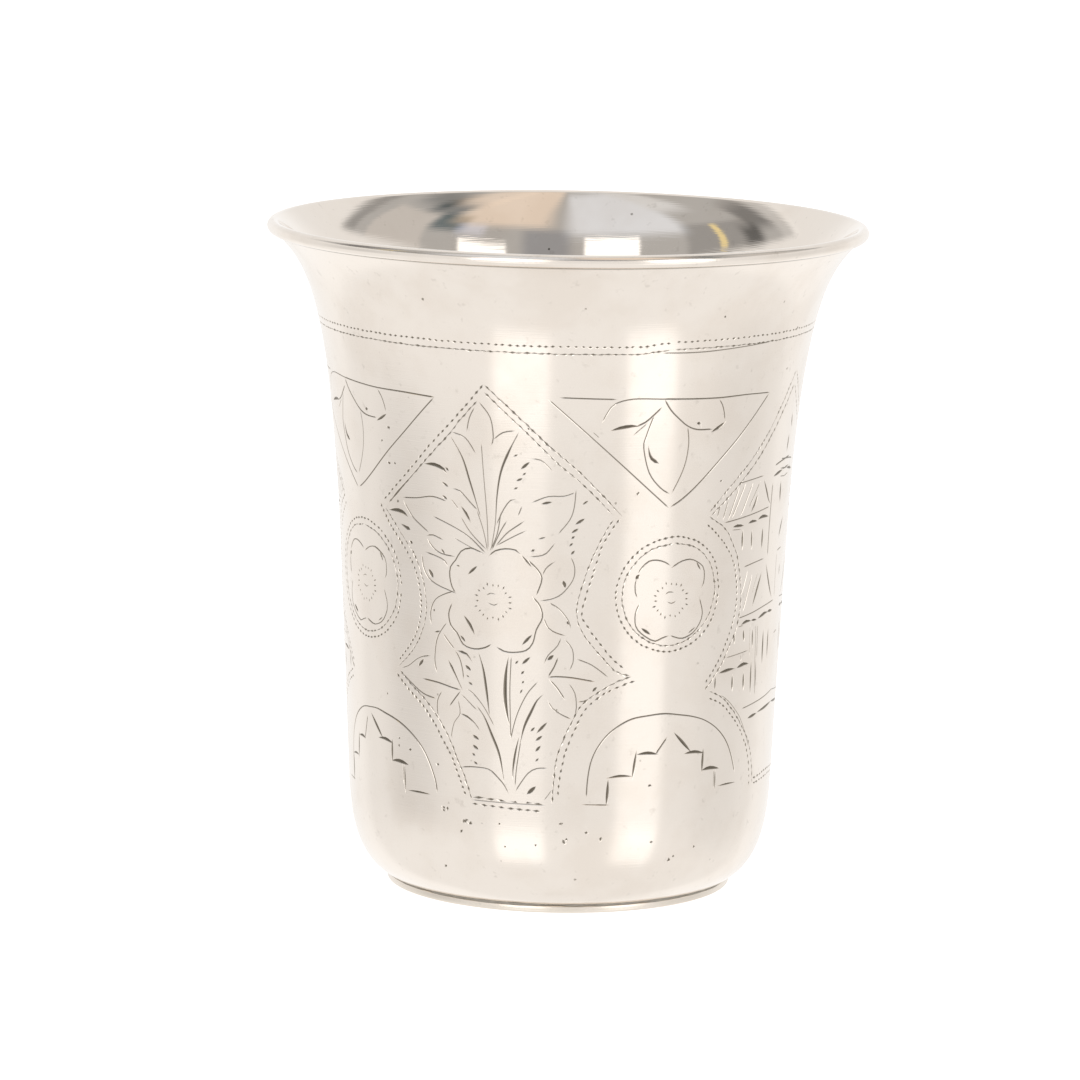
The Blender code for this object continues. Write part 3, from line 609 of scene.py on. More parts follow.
    def drawing(self) -> Drawing:
        """Put the whole panel together: its left half as drawn, and the right half as its mirror image.

        Returns:
            The panel.
        """
        inner_line = cut(HAIR, (-12.3, 26.2), (-10.7, 25.2), (-9.2, 23.9), (-7.8, 22.4), (-5.5, 18.7))
        half = Drawing(self.roofs + self.eaves + self.windows + (inner_line,),
                       self.gables + self.sides + self.foot)
        return half + half.mirrored(self.axis_top, self.axis_foot) + Drawing(self.tower)


@dataclass(frozen=True)
class Column:
    """What stands between two panels: a hanging triangle, a flower in a ring, and steps under an arch.

    A column whose foot is dropped has a lower and narrower arch, and the left half of its steps is smaller.
    """

    ring_centre: Point = (0.25, 39.0)
    ring_radius: float = 6.85
    ring_gap: float = 0.72
    step_shift: float = 0.0
    foot_drop: float = 0.0
    step_reach: float = 0.32
    drawn_centre: Point = (0.25, 39.0)
    arch_middle: float = 1.2
    narrow_middle: float = 3.1
    narrow_foot: float = 14.0
    narrow_share: float = 0.85
    small_steps_end: float = -1.2
    small_steps_share: float = 0.75
    small_steps_drop: float = 1.0

    def triangle(self) -> tuple[Cut, ...]:
        """Draw the triangle with a bellflower hanging in it.

        Returns:
            The cuts.
        """
        return (
            cut(0.22, (-13.4, 62.7), (-10.0, 62.6), (-7.2, 62.5)),
            cut(FINE, (-8.8, 59.7), (-8.2, 61.0), (-7.4, 62.0), (-5.5, 62.5), (-2.5, 62.4), (0.0, 62.25)),
            cut(0.24, (-2.2, 62.4), (2.0, 62.2), (5.0, 62.1), (9.0, 62.1), (13.4, 61.9)),
            cut(0.22, (-14.6, 62.5), (-10.1, 58.2), (-4.0, 52.4), (-0.6, 49.3)),
            cut(0.24, (-0.5, 49.4), (1.0, 50.3), (3.0, 51.9), (6.0, 54.7), (9.0, 57.5), (13.3, 61.9)),
            cut(HAIR, (-9.8, 58.7), (-8.9, 57.8)),
            lens(0.48, (-7.9, 58.75), (-6.8, 59.1), (-5.5, 59.3), (-4.6, 59.2)),
            cut(0.24, (-5.2, 59.15), (-4.0, 59.7), (-3.1, 60.5), (-2.1, 61.5)),
            cut(HAIR, (-5.4, 58.1), (-4.4, 59.0), (-3.6, 59.7)),
            cut(0.22, (-3.0, 60.6), (-3.8, 58.0), (-4.0, 56.6), (-3.2, 53.6), (-1.8, 51.8), (-0.6, 51.0)),
            cut(FINE, (1.1, 59.0), (1.4, 57.0), (1.2, 54.8), (0.6, 53.0), (-0.4, 51.0)),
            cut(0.24, (-2.0, 62.4), (-1.1, 61.0), (0.0, 59.9), (1.1, 59.0), (2.4, 58.5), (4.5, 58.4)),
            cut(0.22, (4.9, 62.0), (5.5, 61.2), (5.9, 60.2), (6.1, 59.2)),
            lens(BROAD, (4.2, 58.0), (5.2, 58.5), (6.3, 59.2)),
            lens(0.46, (2.2, 59.25), (2.8, 59.2)),
            drop(0.50, (-2.1, 54.7), (-3.0, 55.3), (-3.35, 56.1), (-3.5, 57.0)),
        )

    def medallion(self) -> Drawing:
        """Draw the four-lobed flower in a punched ring and a plain one.

        Returns:
            The flower and its rings.
        """
        across, up = (ring - drawn for ring, drawn in zip(self.ring_centre, self.drawn_centre))
        inner = self.ring_radius - self.ring_gap
        petals = (
            cut(0.22, (0.0, 42.4), (-0.8, 42.9), (-1.8, 43.2), (-2.8, 43.1), (-3.6, 42.4), (-4.1, 41.6)),
            cut(0.22, (-4.25, 41.1), (-4.35, 40.2), (-4.3, 39.5), (-4.0, 38.7)),
            cut(0.22, (-3.7, 38.2), (-4.2, 36.9), (-4.1, 35.4), (-3.4, 34.5), (-2.2, 33.7), (-1.6, 33.5),
                (-0.8, 33.8), (0.2, 34.1)),
            cut(0.22, (0.2, 34.1), (1.0, 33.8), (2.0, 33.6), (3.4, 34.1), (4.3, 35.1), (4.7, 36.4),
                (4.1, 38.4)),
            cut(0.22, (4.2, 39.2), (4.6, 39.9), (4.7, 40.9), (4.4, 42.0), (3.0, 42.9), (2.0, 43.0),
                (1.0, 42.7), (0.0, 42.1)),
            lens(0.50, (-4.35, 41.0), (-3.85, 41.6)), lens(0.30, (3.4, 42.7), (4.15, 41.5)),
            lens(BROAD, (-3.5, 35.2), (-2.2, 34.3)), lens(0.24, (2.7, 34.1), (3.8, 34.8)),
        )
        flower = Drawing(petals + eye((0.2, 38.3), 2.15, 2.05)).moved(across, up)
        rings = (Row(circle(self.ring_centre, self.ring_radius), 0.76, 0.42, 0.24),
                 Row(circle(self.ring_centre, inner, 90), 0.80, 0.56, 0.24, HAIR))
        return flower + Drawing((), rings)

    def arch(self) -> tuple[Cut, ...]:
        """Draw the plain arch over the steps.

        Returns:
            The one cut.
        """
        low_end = ((12.2, 15.3 - self.foot_drop),) if self.foot_drop else ()
        return (cut(0.24, (-9.5, 14.9), (-9.4, 17.0), (-9.1, 19.0), (-8.5, 20.6), (-7.4, 22.2), (-6.0, 23.4),
                    (-4.2, 24.3), (-2.0, 24.6), (0.0, 24.7), (2.0, 24.4), (4.0, 24.0), (6.0, 23.3),
                    (8.0, 22.1), (9.7, 20.5), (10.9, 18.6), (11.9, 16.2), *low_end),)

    def steps(self) -> tuple[Cut, ...]:
        """Draw the stepped gable under the arch.

        Returns:
            The cuts, from left to right.
        """
        low = 15.0 - self.foot_drop
        return (
            drop(0.26, (-6.9, 14.05), (-9.8, 14.15)),
            lens(0.44, (-6.9, 17.0), (-6.95, 15.5), (-7.05, 14.1)),
            lens(0.36, (-6.9, 17.3), (-5.5, 17.5), (-4.1, 17.4)),
            lens(0.38, (-3.5, 20.3), (-3.9, 17.2)),
            lens(0.44, (-3.2, 20.0), (-2.0, 20.1), (-0.9, 19.9)),
            cut(0.26, (-0.9, 20.0), (0.4, 21.7)),
            lens(0.48, (1.5, 22.2), (2.5, 21.2), (3.9, 19.8)),
            lens(0.46, (3.2, 19.6), (4.5, 19.7), (5.9, 19.4)),
            lens(0.42, (5.9, 19.8), (5.85, 17.2)),
            lens(0.52, (6.0, 17.3), (7.2, 17.45), (8.6, 17.2)),
            lens(0.30, (8.1, 17.0), (8.2, low - 0.2)),
            cut(HAIR, (7.85, 17.0), (7.95, 15.0)),
            lens(0.30, (8.8, low), (10.3, low + 0.05), (12.0, low)),
        )

    def narrow_arch(self, x: float, y: float) -> Point:
        """Where a point of the arch lies in the narrower and lower one."""
        return (self.narrow_middle + (x - self.arch_middle) * self.narrow_share,
                self.narrow_foot + (y - self.narrow_foot) * self.narrow_share)

    def small_steps(self, x: float, y: float) -> Point:
        """Where a point of the steps lies when their left half is narrower and lower."""
        return (x * self.small_steps_share, y - self.small_steps_drop) if x < self.small_steps_end else (x, y)

    def drawing(self) -> Drawing:
        """Put the column together, from the triangle down to the arch.

        Returns:
            The column.
        """
        arch, steps = Drawing(self.arch()), Drawing(self.steps()).moved(self.step_shift)
        if self.foot_drop:
            arch, steps = arch.shaped(self.narrow_arch), steps.shaped(self.small_steps)
        foot = arch + Drawing(tuple(longer(one, self.step_reach) for one in steps.cuts))
        return Drawing(self.triangle()) + self.medallion() + foot


@dataclass
class CupShape:
    """The turned shape of the cup, as the solid has it."""

    height: float
    rim_radius: float
    wall: float = 0.7
    lip_bead_radius: float = 0.78
    lip_angle: float = 45.0
    flare_start: float = 39.8
    flare_lower_handle: float = 31.2
    flare_upper_handle: float = 5.2
    shoulder_radius: float = 25.5
    shoulder_height: float = 12.5
    shoulder_handle: float = 7.5
    wall_taper: float = 0.047
    base_radius: float = 21.15
    base_height: float = 1.2
    base_margin: float = 0.3
    base_corner_angle: float = 58.0
    base_corner_handle: float = 2.6
    curve_points: int = 96
    thickening_start: float = 72.5
    unevenness: float = 0.028
    # The hammer's unevenness fades in between the first two heights, and out again between the other two
    fade_in: tuple[float, float] = (13.0, 24.0)
    fade_out: tuple[float, float] = (60.0, 69.0)
    # Waves round the wall: how many, their twist for each millimetre of height, their phase and their share
    waves: tuple[tuple[int, float, float, float], ...] = (
        (3, 0.11, 0.0, 1.0), (5, -0.19, 1.3, 1.0), (8, 0.27, 4.1, 0.7), (13, -0.33, 0.0, 0.5))
    waves_middle: float = 1.5
    waves_reach: float = 3.2
    outline: np.ndarray = field(init=False)

    def __post_init__(self) -> None:
        """Draw the outside of the cup, from the underside's edge up to the lip."""
        steep, lean = math.radians(self.base_corner_angle), math.radians(self.lip_angle)
        wall_way = Vector((self.wall_taper, 1.0)).normalized()
        lip_way = Vector((math.sin(lean), math.cos(lean)))
        lip_side = Vector((math.cos(lean), -math.sin(lean)))
        base = Vector((self.base_radius, self.base_height))
        shoulder = Vector((self.shoulder_radius, self.shoulder_height))
        flare_start = shoulder + Vector((self.wall_taper, 1.0)) * (self.flare_start - self.shoulder_height)
        lip = Vector(self.lip_centre()) + lip_side * (self.wall / 2)
        lip -= lip_way * (self.lip_bead_radius * math.cos(self.lip_crease()))
        corner_way = Vector((math.sin(steep), math.cos(steep)))
        corner = interpolate_bezier(base, base + corner_way * self.base_corner_handle,
                                    shoulder - wall_way * self.shoulder_handle, shoulder, self.curve_points)
        flare = interpolate_bezier(flare_start, flare_start + wall_way * self.flare_lower_handle,
                                   lip - lip_way * self.flare_upper_handle, lip, self.curve_points)
        self.outline = np.array([(point.x, point.y) for point in corner + flare])

    def lip_centre(self) -> Point:
        """Radius and height of the middle of the rounded lip."""
        return self.rim_radius - self.lip_bead_radius, self.height - self.lip_bead_radius

    def lip_crease(self) -> float:
        """Half the angle of the rounded lip that the wall takes up."""
        return math.asin(self.wall / 2 / self.lip_bead_radius)

    def radius(self, angle: np.ndarray, height: np.ndarray) -> np.ndarray:
        """Radius of the outside wall, with the slight unevenness that the hammer left.

        Args:
            angle: Azimuth in radians, counted from the front towards +X.
            height: Height above the table.

        Returns:
            The radii.
        """
        turned = np.interp(height, self.outline[:, 1], self.outline[:, 0])
        fade = smooth_step(height, *self.fade_in) * (1.0 - smooth_step(height, *self.fade_out))
        waves = sum(share * np.sin(count * angle + twist * height + phase)
                    for count, twist, phase, share in self.waves)
        return turned + self.unevenness * fade * (waves - self.waves_middle) / self.waves_reach

    def normals(self, angle: np.ndarray, height: np.ndarray) -> np.ndarray:
        """Find the directions that the outside wall faces.

        Args:
            angle: Azimuth in radians, counted from the front towards +X.
            height: Height above the table.

        Returns:
            One unit vector for each place.
        """
        step, turn = 0.25, 0.004
        radius = self.radius(angle, height)
        low, high = self.outline[0, 1], self.outline[-1, 1]
        above, below = np.minimum(height + step, high), np.maximum(height - step, low)
        rise = (self.radius(angle, above) - self.radius(angle, below)) / (above - below)
        swing = (self.radius(angle + turn, height) - self.radius(angle - turn, height)) / (2 * turn) / radius
        facing = np.stack((np.sin(angle) - np.cos(angle) * swing, -np.cos(angle) - np.sin(angle) * swing,
                           -rise), axis=1)
        return facing / np.linalg.norm(facing, axis=1)[:, None]

    def inner_point(self, height: float) -> Point:
        """Find the point of the inside wall that faces the outside wall, thicker towards the lip.

        Args:
            height: Height of the point on the outside wall.

        Returns:
            Radius and height of the point inside.
        """
        step = 0.1
        low, high = max(height - step, self.outline[0, 1]), min(height + step, self.outline[-1, 1])
        radii = np.interp((low, height, high), self.outline[:, 1], self.outline[:, 0])
        normal = Vector((1.0, -(radii[2] - radii[0]) / (high - low))).normalized()
        share = float(smooth_step(np.array(height), self.thickening_start, self.outline[-1, 1]))
        wall = self.wall + (self.lip_bead_radius - self.wall / 2) * share
        return float(radii[1]) - normal.x * wall, height - normal.y * wall


@dataclass
class Engraving:
    """Everything that is cut, punched or pitted into the outside wall, laid out on the unrolled wall.

    X is the azimuth times the drawing radius, and Y is the height above the table.
    """

    drawing_radius: float = 26.1
    seam: float = math.radians(202.0)
    slope: float = 0.62
    dent_depth: float = 0.10
    guide_share: float = 0.62
    pit_half_length: float = 0.80
    pit_half_width: float = 0.56
    pit_spread: float = 0.3
    neck_fall: float = 0.42
    seam_margin: float = 0.5
    seed: int = 11
    cuts: list[Cut] = field(default_factory=list)
    dents: list[Dent] = field(default_factory=list)
    # Pits of old corrosion, as azimuth in degrees, height and size
    pits: tuple[tuple[float, float, float], ...] = (
        (-27.0, 10.2, 0.42), (-26.0, 11.3, 0.55), (-25.2, 11.5, 0.40), (-24.0, 11.2, 0.45),
        (-32.0, 12.6, 0.50), (-31.0, 12.7, 0.40), (0.5, 11.8, 0.40), (1.5, 9.6, 0.45), (2.2, 9.9, 0.30),
        (7.5, 10.8, 0.42), (11.5, 9.9, 0.45), (32.0, 6.7, 0.45), (33.0, 7.2, 0.35), (-33.0, 5.4, 0.40),
        (-16.0, 11.5, 0.25), (-47.6, 57.5, 0.35), (-50.6, 55.8, 0.35), (-48.2, 53.3, 0.32),
        (-46.0, 53.3, 0.28), (18.3, 51.2, 0.28), (41.8, 52.0, 0.32), (24.5, 16.1, 0.32),
        (-43.4, 19.1, 0.45), (-47.5, 20.2, 0.32), (-47.6, 19.3, 0.34), (-33.7, 17.9, 0.36),
        (-51.8, 25.3, 0.30), (64.2, 64.3, 0.30), (25.6, 9.2, 0.32), (-14.5, 8.8, 0.24), (40.0, 8.0, 0.30),
        (-6.0, 9.1, 0.24), (118.0, 12.0, 0.40), (150.0, 9.5, 0.36), (205.0, 10.8, 0.42), (251.0, 8.7, 0.35),
        (186.0, 66.0, 0.28), (-8.6, 58.9, 0.22))

    def turn(self) -> float:
        """Length of the whole frieze."""
        return math.tau * self.drawing_radius

    def around(self, degrees: float) -> float:
        """Place along the frieze of an azimuth."""
        return math.radians(degrees) * self.drawing_radius

    def lay_out(self) -> None:
        """Place the panels, the columns, the neck lines and the pits."""
        chance = Random(self.seed)
        flowers, town, right = FlowerPanel().drawing(), TownPanel().drawing(), Column().drawing()
        left = Column(ring_centre=(0.40, 38.7), ring_radius=7.15, ring_gap=0.70, step_shift=-0.85,
                      foot_drop=0.9).drawing()
        places = ((-17, flowers), (73, town), (28, right), (-61.5, left), (163, flowers), (253, town),
                  (118, right), (208, left))
        whole = self.neck_lines()
        for degrees, drawing in places:
            whole = whole + drawing.moved(self.around(degrees))
        dents = [mark for row in whole.rows for mark in row.dents(chance)]
        guides = tuple(Cut(row.line * self.guide_share, row.points) for row in whole.rows if row.line)
        for one in whole.cuts + guides:
            places_across = [x for x, _ in one.points]
            for shift in self.shifts(min(places_across), max(places_across)):
                self.cuts.append(shaped(one, lambda x, y: (x + shift, y)))
        for dent in dents + self.pit_dents(chance):
            (x, y), reach = dent.centre, dent.half_length
            self.dents += [replace(dent, centre=(x + shift, y))
                           for shift in self.shifts(x - reach, x + reach)]

    def shifts(self, low: float, high: float) -> list[float]:
        """Find the moves that bring a mark onto the unrolled wall, two of them where it lies across the seam.

        Args:
            low: The lowest place along the frieze that the mark covers.
            high: The highest one.

        Returns:
            How far the mark is moved along the frieze, once or twice.
        """
        start, turn = self.seam * self.drawing_radius, self.turn()
        shifts = [turns * turn - start for turns in (-2, -1, 0, 1)]
        return [shift for shift in shifts
                if high + self.seam_margin + shift > 0 and low - self.seam_margin + shift < turn]

    def pit_dents(self, chance: Random) -> list[Dent]:
        """Make each pit of two dents that lie across each other.

        Args:
            chance: The source of their unevenness.

        Returns:
            The dents.
        """
        dents = []
        for degrees, height, size in self.pits:
            for _ in range(2):
                angle = chance.uniform(0, math.tau)
                aside = chance.uniform(-self.pit_spread, self.pit_spread) * size
                upwards = chance.uniform(-self.pit_spread, self.pit_spread) * size
                centre = (self.around(degrees) + aside, height + upwards)
                dents.append(Dent(centre, (math.cos(angle), math.sin(angle)), size * self.pit_half_length,
                                  size * self.pit_half_width))
        return dents

    def neck_lines(self) -> Drawing:
        """Lay two rows of close dots once round the neck, which rise where they come back to their start.

        Returns:
            The rows, with the thin line at their start.
        """
        rows = []
        for height, pitch, dash, line in ((68.72, 0.74, 0.34, 0.0), (67.85, 0.76, 0.52, HAIR)):
            route = [(self.around(25.0 + 352.0 * share), height + self.neck_fall * (1.0 - share))
                     for share in spread(0.0, 1.0, 37)]
            route += [(self.around(381.0), height + 0.24), (self.around(385.0), height + self.neck_fall)]
            rows.append(Row(tuple(route), pitch, dash, 0.24, line))
        start = cut(FINE, *((self.around(degrees), height)
                            for degrees, height in ((22.0, 67.9), (32.0, 67.8), (44.0, 68.0), (54.0, 68.2))))
        return Drawing((start,), tuple(rows))


def spin_round(mesh: bmesh.types.BMesh, outline: list[Point], side: Vector, steps: int,
               closed: bool = False) -> None:
    """Turn an outline once round the Z axis.

    Args:
        mesh: The mesh that it is added to.
        outline: Radius and height of each point, in millimetres.
        side: The direction in which the outline stands.
        steps: How many parts the circle has.
        closed: Whether the outline's last point is joined to its first.
    """
    verts = [mesh.verts.new((side.x * radius * MM, side.y * radius * MM, height * MM))
             for radius, height in outline]
    followers = verts[1:] + verts[:1] if closed else verts[1:]
    edges = [mesh.edges.new(pair) for pair in zip(verts, followers)]
    bmesh.ops.spin(mesh, geom=verts + edges, cent=(0, 0, 0), axis=(0, 0, 1), angle=math.tau, steps=steps,
                   use_merge=True)


def finished(name: str, mesh: bmesh.types.BMesh, material: bpy.types.Material,
             sharp: float = 40.0) -> bpy.types.Object:
    """Turn a bmesh into a named, smooth object in the scene.

    Args:
        name: The name of the piece.
        mesh: Its shape, which is freed.
        material: Its material.
        sharp: The angle in degrees from which an edge is sharp.

    Returns:
        The object.
    """
    data = bpy.data.meshes.new(name)
    mesh.to_mesh(data)
    mesh.free()
    data.shade_smooth()
    data.set_sharp_from_angle(angle=math.radians(sharp))
    data.materials.append(material)
    piece = bpy.data.objects.new(name, data)
    bpy.context.scene.collection.objects.link(piece)
    return piece


@dataclass
class Cup:
    """The cup: base corner, engraved wall, flare, rounded lip, inside and underside, in one closed mesh."""

    shape: CupShape
    engraving: Engraving
    segments: int = 180
    frieze_bottom: float = 4.6
    frieze_top: float = 70.4
    close_grid_top: float = 13.0
    inside_bend: float = 60.0
    corner_crowding: float = 1.6
    lip_points: int = 31
    crease_width: float = 0.28
    # Painted shade: how dark the crease under the lip is painted, set as a shallow depth in the engraving's
    # layer
    crease_painted_shade: float = 0.06
    crease_inwards: float = 0.1
    crease_upwards: float = 0.02
    # Points on the frieze's edges this close are joined, and anywhere else, points this close are one
    join_reach: float = 0.004
    double_reach: float = 0.0001
    triangle_reach: float = 0.00001
    wall_reach: float = 0.05
    floor_reach: float = 0.002
    flat_limit: float = 0.004
    sharp: float = 38.0

    def build(self, finish: "OldSilver") -> bpy.types.Object:
        """Build the cup and dress it.

        Args:
            finish: The silver that it is made of.

        Returns:
            The finished object.
        """
        mesh = bmesh.new()
        depth_and_crease_shade_layer = mesh.verts.layers.float.new("cut")
        seam = self.engraving.seam
        for outline in (self.lower_outline(), self.upper_outline()):
            spin_round(mesh, outline, Vector((math.sin(seam), -math.cos(seam))), self.segments)
        lip_radius, flare_top = self.shape.outline[-1]
        # Painted shade: the points of the outer crease where the flare meets the lip get a shallow depth, so
        # that the material darkens this crease with the tarnish colour
        for vert in mesh.verts:
            outer = vert.co.xy.length > (lip_radius - self.crease_inwards) * MM
            if outer and abs(vert.co.z - flare_top * MM) < self.crease_upwards * MM:
                vert[depth_and_crease_shade_layer] = self.crease_painted_shade
        self.roll_frieze(mesh, depth_and_crease_shade_layer)
        edge = [vert for vert in mesh.verts if vert.is_boundary]
        bmesh.ops.remove_doubles(mesh, verts=edge, dist=self.join_reach * MM)
        bmesh.ops.remove_doubles(mesh, verts=mesh.verts, dist=self.double_reach * MM)
        bmesh.ops.recalc_face_normals(mesh, faces=mesh.faces)
        piece = finished("beaker", mesh, finish.material(self.shape), self.sharp)
        self.face_evenly(piece.data)
        return piece

    def wall_point(self, height: float) -> Point:
        """Point of the turned outside wall at a height."""
        return float(np.interp(height, self.shape.outline[:, 1], self.shape.outline[:, 0])), height

    def lower_outline(self) -> list[Point]:
        """Draw the outline from the middle of the underside out and up to the frieze.

        Returns:
            Radius and height of its points.
        """
        shape = self.shape
        underside = [(radius, shape.base_height) for radius in spread(0.0, shape.base_radius, 6)[:-1]]
        rise = self.frieze_bottom - shape.base_height
        return underside + [self.wall_point(shape.base_height + rise * share ** self.corner_crowding)
                            for share in spread(0.0, 1.0, 12)]

    def upper_outline(self) -> list[Point]:
        """Draw the outline from the frieze over the lip, down the inside and across the floor to the axis.

        Returns:
            Radius and height of its points.
        """
        shape = self.shape
        flare_top = float(shape.outline[-1, 1])
        outside = [self.wall_point(height)
                   for height in spread(self.frieze_top, flare_top - self.crease_width, 16)]
        radius, height = shape.lip_centre()
        towards_wall = -math.pi / 2 - math.radians(shape.lip_angle)
        turns = spread(towards_wall + shape.lip_crease(), towards_wall + math.pi * 1.5, self.lip_points)
        bead = shape.lip_bead_radius
        lip = [(radius + bead * math.cos(turn), height + bead * math.sin(turn)) for turn in turns]
        heights = spread(flare_top, self.inside_bend, 22)[1:]
        heights += spread(self.inside_bend, shape.shoulder_height, 16)[1:]
        drop_height = shape.shoulder_height - shape.base_height
        heights += [shape.base_height + drop_height * share ** self.corner_crowding
                    for share in spread(1.0, 0.0, 18)[1:]]
        floor_height = shape.base_height + shape.wall
        inside = [point for point in map(shape.inner_point, heights)
                  if point[1] > floor_height + self.floor_reach]
        floor = [(radius, floor_height) for radius in spread(shape.base_radius - shape.wall, 0.0, 7)]
        return outside + lip + inside + floor

    def grid(self) -> tuple[list[float], list[float]]:
        """Lay the plain grid between the marks, closer near the foot where the wall bends.

        Returns:
            Places along the frieze, and heights.
        """
        across = spread(0.0, self.engraving.turn(), self.segments + 1)
        return across, [*spread(self.frieze_bottom, self.close_grid_top, 15)[:-1],
                        *spread(self.close_grid_top, self.frieze_top, 48)]

    def sunk(self, places: np.ndarray) -> np.ndarray:
        """Work out how deep the engraving is.

        Args:
            places: Places on the unrolled wall.

        Returns:
            The depth at each place, in millimetres.
        """
        slope = self.engraving.slope
        order = np.argsort(places[:, 0])
        across = places[order, 0]
        points = places[order]
        depth = np.zeros(len(points))
        for one in self.engraving.cuts:
            route = one.route()
            for (x0, y0, half0), (x1, y1, half1) in zip(route, route[1:]):
                reach = max(half0, half1)
                left, right = min(x0, x1) - reach, max(x0, x1) + reach
                near = slice(bisect_left(across, left), bisect_right(across, right))
                way = np.array((x1 - x0, y1 - y0))
                gap = points[near] - (x0, y0)
                share = np.clip(gap @ way / (way @ way), 0.0, 1.0)
                distance = np.linalg.norm(gap - share[:, None] * way, axis=1)
                groove = slope * (half0 + (half1 - half0) * share - distance)
                depth[near] = np.maximum(depth[near], groove)
        for dent in self.engraving.dents:
            (x, _), reach = dent.centre, dent.half_length
            near = slice(bisect_left(across, x - reach), bisect_right(across, x + reach))
            gap = points[near] - dent.centre
            along = gap @ np.array(dent.along)
            aside = gap @ np.array((-dent.along[1], dent.along[0]))
            pit = 1.0 - np.abs(along) / dent.half_length - np.abs(aside) / dent.half_width
            depth[near] = np.maximum(depth[near], self.engraving.dent_depth * pit)
        result = np.zeros(len(points))
        result[order] = depth
        return result

    def outlines(self) -> tuple[list[Point], list[tuple[int, int]]]:
        """Draw the edges that the unrolled wall has to keep: its borders and the outline of every mark.

        Returns:
            The points, grid points first, and the edges as pairs of point numbers.
        """
        turn = self.engraving.turn()
        across, heights = self.grid()
        points = [(x, y) for y in heights[1:-1] for x in across]
        edges = []

        def chain(route: list[Point], closed: bool = False) -> int:
            """Add a line of joined points.

            Args:
                route: The points.
                closed: Whether the last point is joined to the first.

            Returns:
                The number of its first point.
            """
            first = len(points)
            points.extend(route)
            edges.extend((first + index, first + index + 1) for index in range(len(route) - 1))
            if closed:
                edges.append((len(points) - 1, first))
            return first

        for height in (heights[0], heights[-1]):
            chain([(x, height) for x in across])
        for x in (0.0, turn):
            chain([(x, height) for height in heights])
        for one in self.engraving.cuts:
            route = one.route()
            first = chain([(x, y) for x, y, _ in route])
            last = len(points) - 1
            for side in (1.0, -1.0):
                rim = []
                for before, here, after in zip(route, route[1:], route[2:]):
                    way = Vector((after[0] - before[0], after[1] - before[1])).normalized()
                    rim.append((here[0] - way.y * here[2] * side, here[1] + way.x * here[2] * side))
                start = chain(rim)
                edges.extend(((first, start), (start + len(rim) - 1, last)))
        for dent in self.engraving.dents:
            centre, along = Vector(dent.centre), Vector(dent.along)
            aside = along.orthogonal()
            points.append(tuple(centre))
            chain([tuple(centre + along * dent.half_length), tuple(centre + aside * dent.half_width),
                   tuple(centre - along * dent.half_length), tuple(centre - aside * dent.half_width)], True)
        return points, edges

    def roll_frieze(self, mesh: bmesh.types.BMesh, depth_and_crease_shade_layer: bmesh.types.BMLayerItem) -> None:
        """Triangulate the unrolled wall with its marks, sink them and roll the wall up.

        Args:
            mesh: The mesh that takes the wall.
            depth_and_crease_shade_layer: The layer that takes the depth of the engraving.
        """
        points, edges = self.outlines()
        flat, _, triangles, *_ = delaunay_2d_cdt([Vector(point) for point in points], edges, [], 0,
                                                 self.triangle_reach, False)
        places = np.array([tuple(point) for point in flat])
        depths = self.sunk(places)
        angles = self.engraving.seam + places[:, 0] / self.engraving.drawing_radius
        radii = (self.shape.radius(angles, places[:, 1]) - depths) * MM
        positions = np.stack((radii * np.sin(angles), -radii * np.cos(angles), places[:, 1] * MM), axis=1)
        verts: dict[int, bmesh.types.BMVert] = {}
        middles = places[np.array([list(triangle) for triangle in triangles])].mean(axis=1)
        for triangle, middle in zip(triangles, middles):
            around = 0.0 < middle[0] < self.engraving.turn()
            if not (around and self.frieze_bottom < middle[1] < self.frieze_top):
                continue
            corners = []
            for index in triangle:
                if index not in verts:
                    verts[index] = mesh.verts.new(positions[index])
                    verts[index][depth_and_crease_shade_layer] = depths[index]
                corners.append(verts[index])
            mesh.faces.new(corners)

    def face_evenly(self, data: bpy.types.Mesh) -> None:
        """Give the plain wall the directions of the smooth shape, and each side of a mark its own.

        Args:
            data: The finished mesh.
        """
        count = len(data.vertices)
        positions = np.empty(count * 3, dtype=np.float32)
        data.vertices.foreach_get("co", positions)
        positions = positions.reshape(-1, 3).astype(float) / MM
        depth = np.empty(count, dtype=np.float32)
        data.attributes["cut"].data.foreach_get("value", depth)
        angles = np.arctan2(positions[:, 0], -positions[:, 1])
        heights = positions[:, 2]
        radii = np.hypot(positions[:, 0], positions[:, 1]) + depth
        shape = self.shape
        outside = np.abs(radii - shape.radius(angles, heights)) < self.wall_reach
        outside &= heights > shape.base_height + shape.base_margin
        outside &= heights < shape.outline[-1, 1] - self.wall_reach
        smooth = shape.normals(angles, heights)
        directions = np.zeros((len(data.loops), 3))
        for face in data.polygons:
            corners = list(face.vertices)
            if outside[corners].all():
                plain = depth[corners].max() < self.flat_limit
                directions[list(face.loop_indices)] = smooth[corners] if plain else tuple(face.normal)
        data.normals_split_custom_set([tuple(direction) for direction in directions])


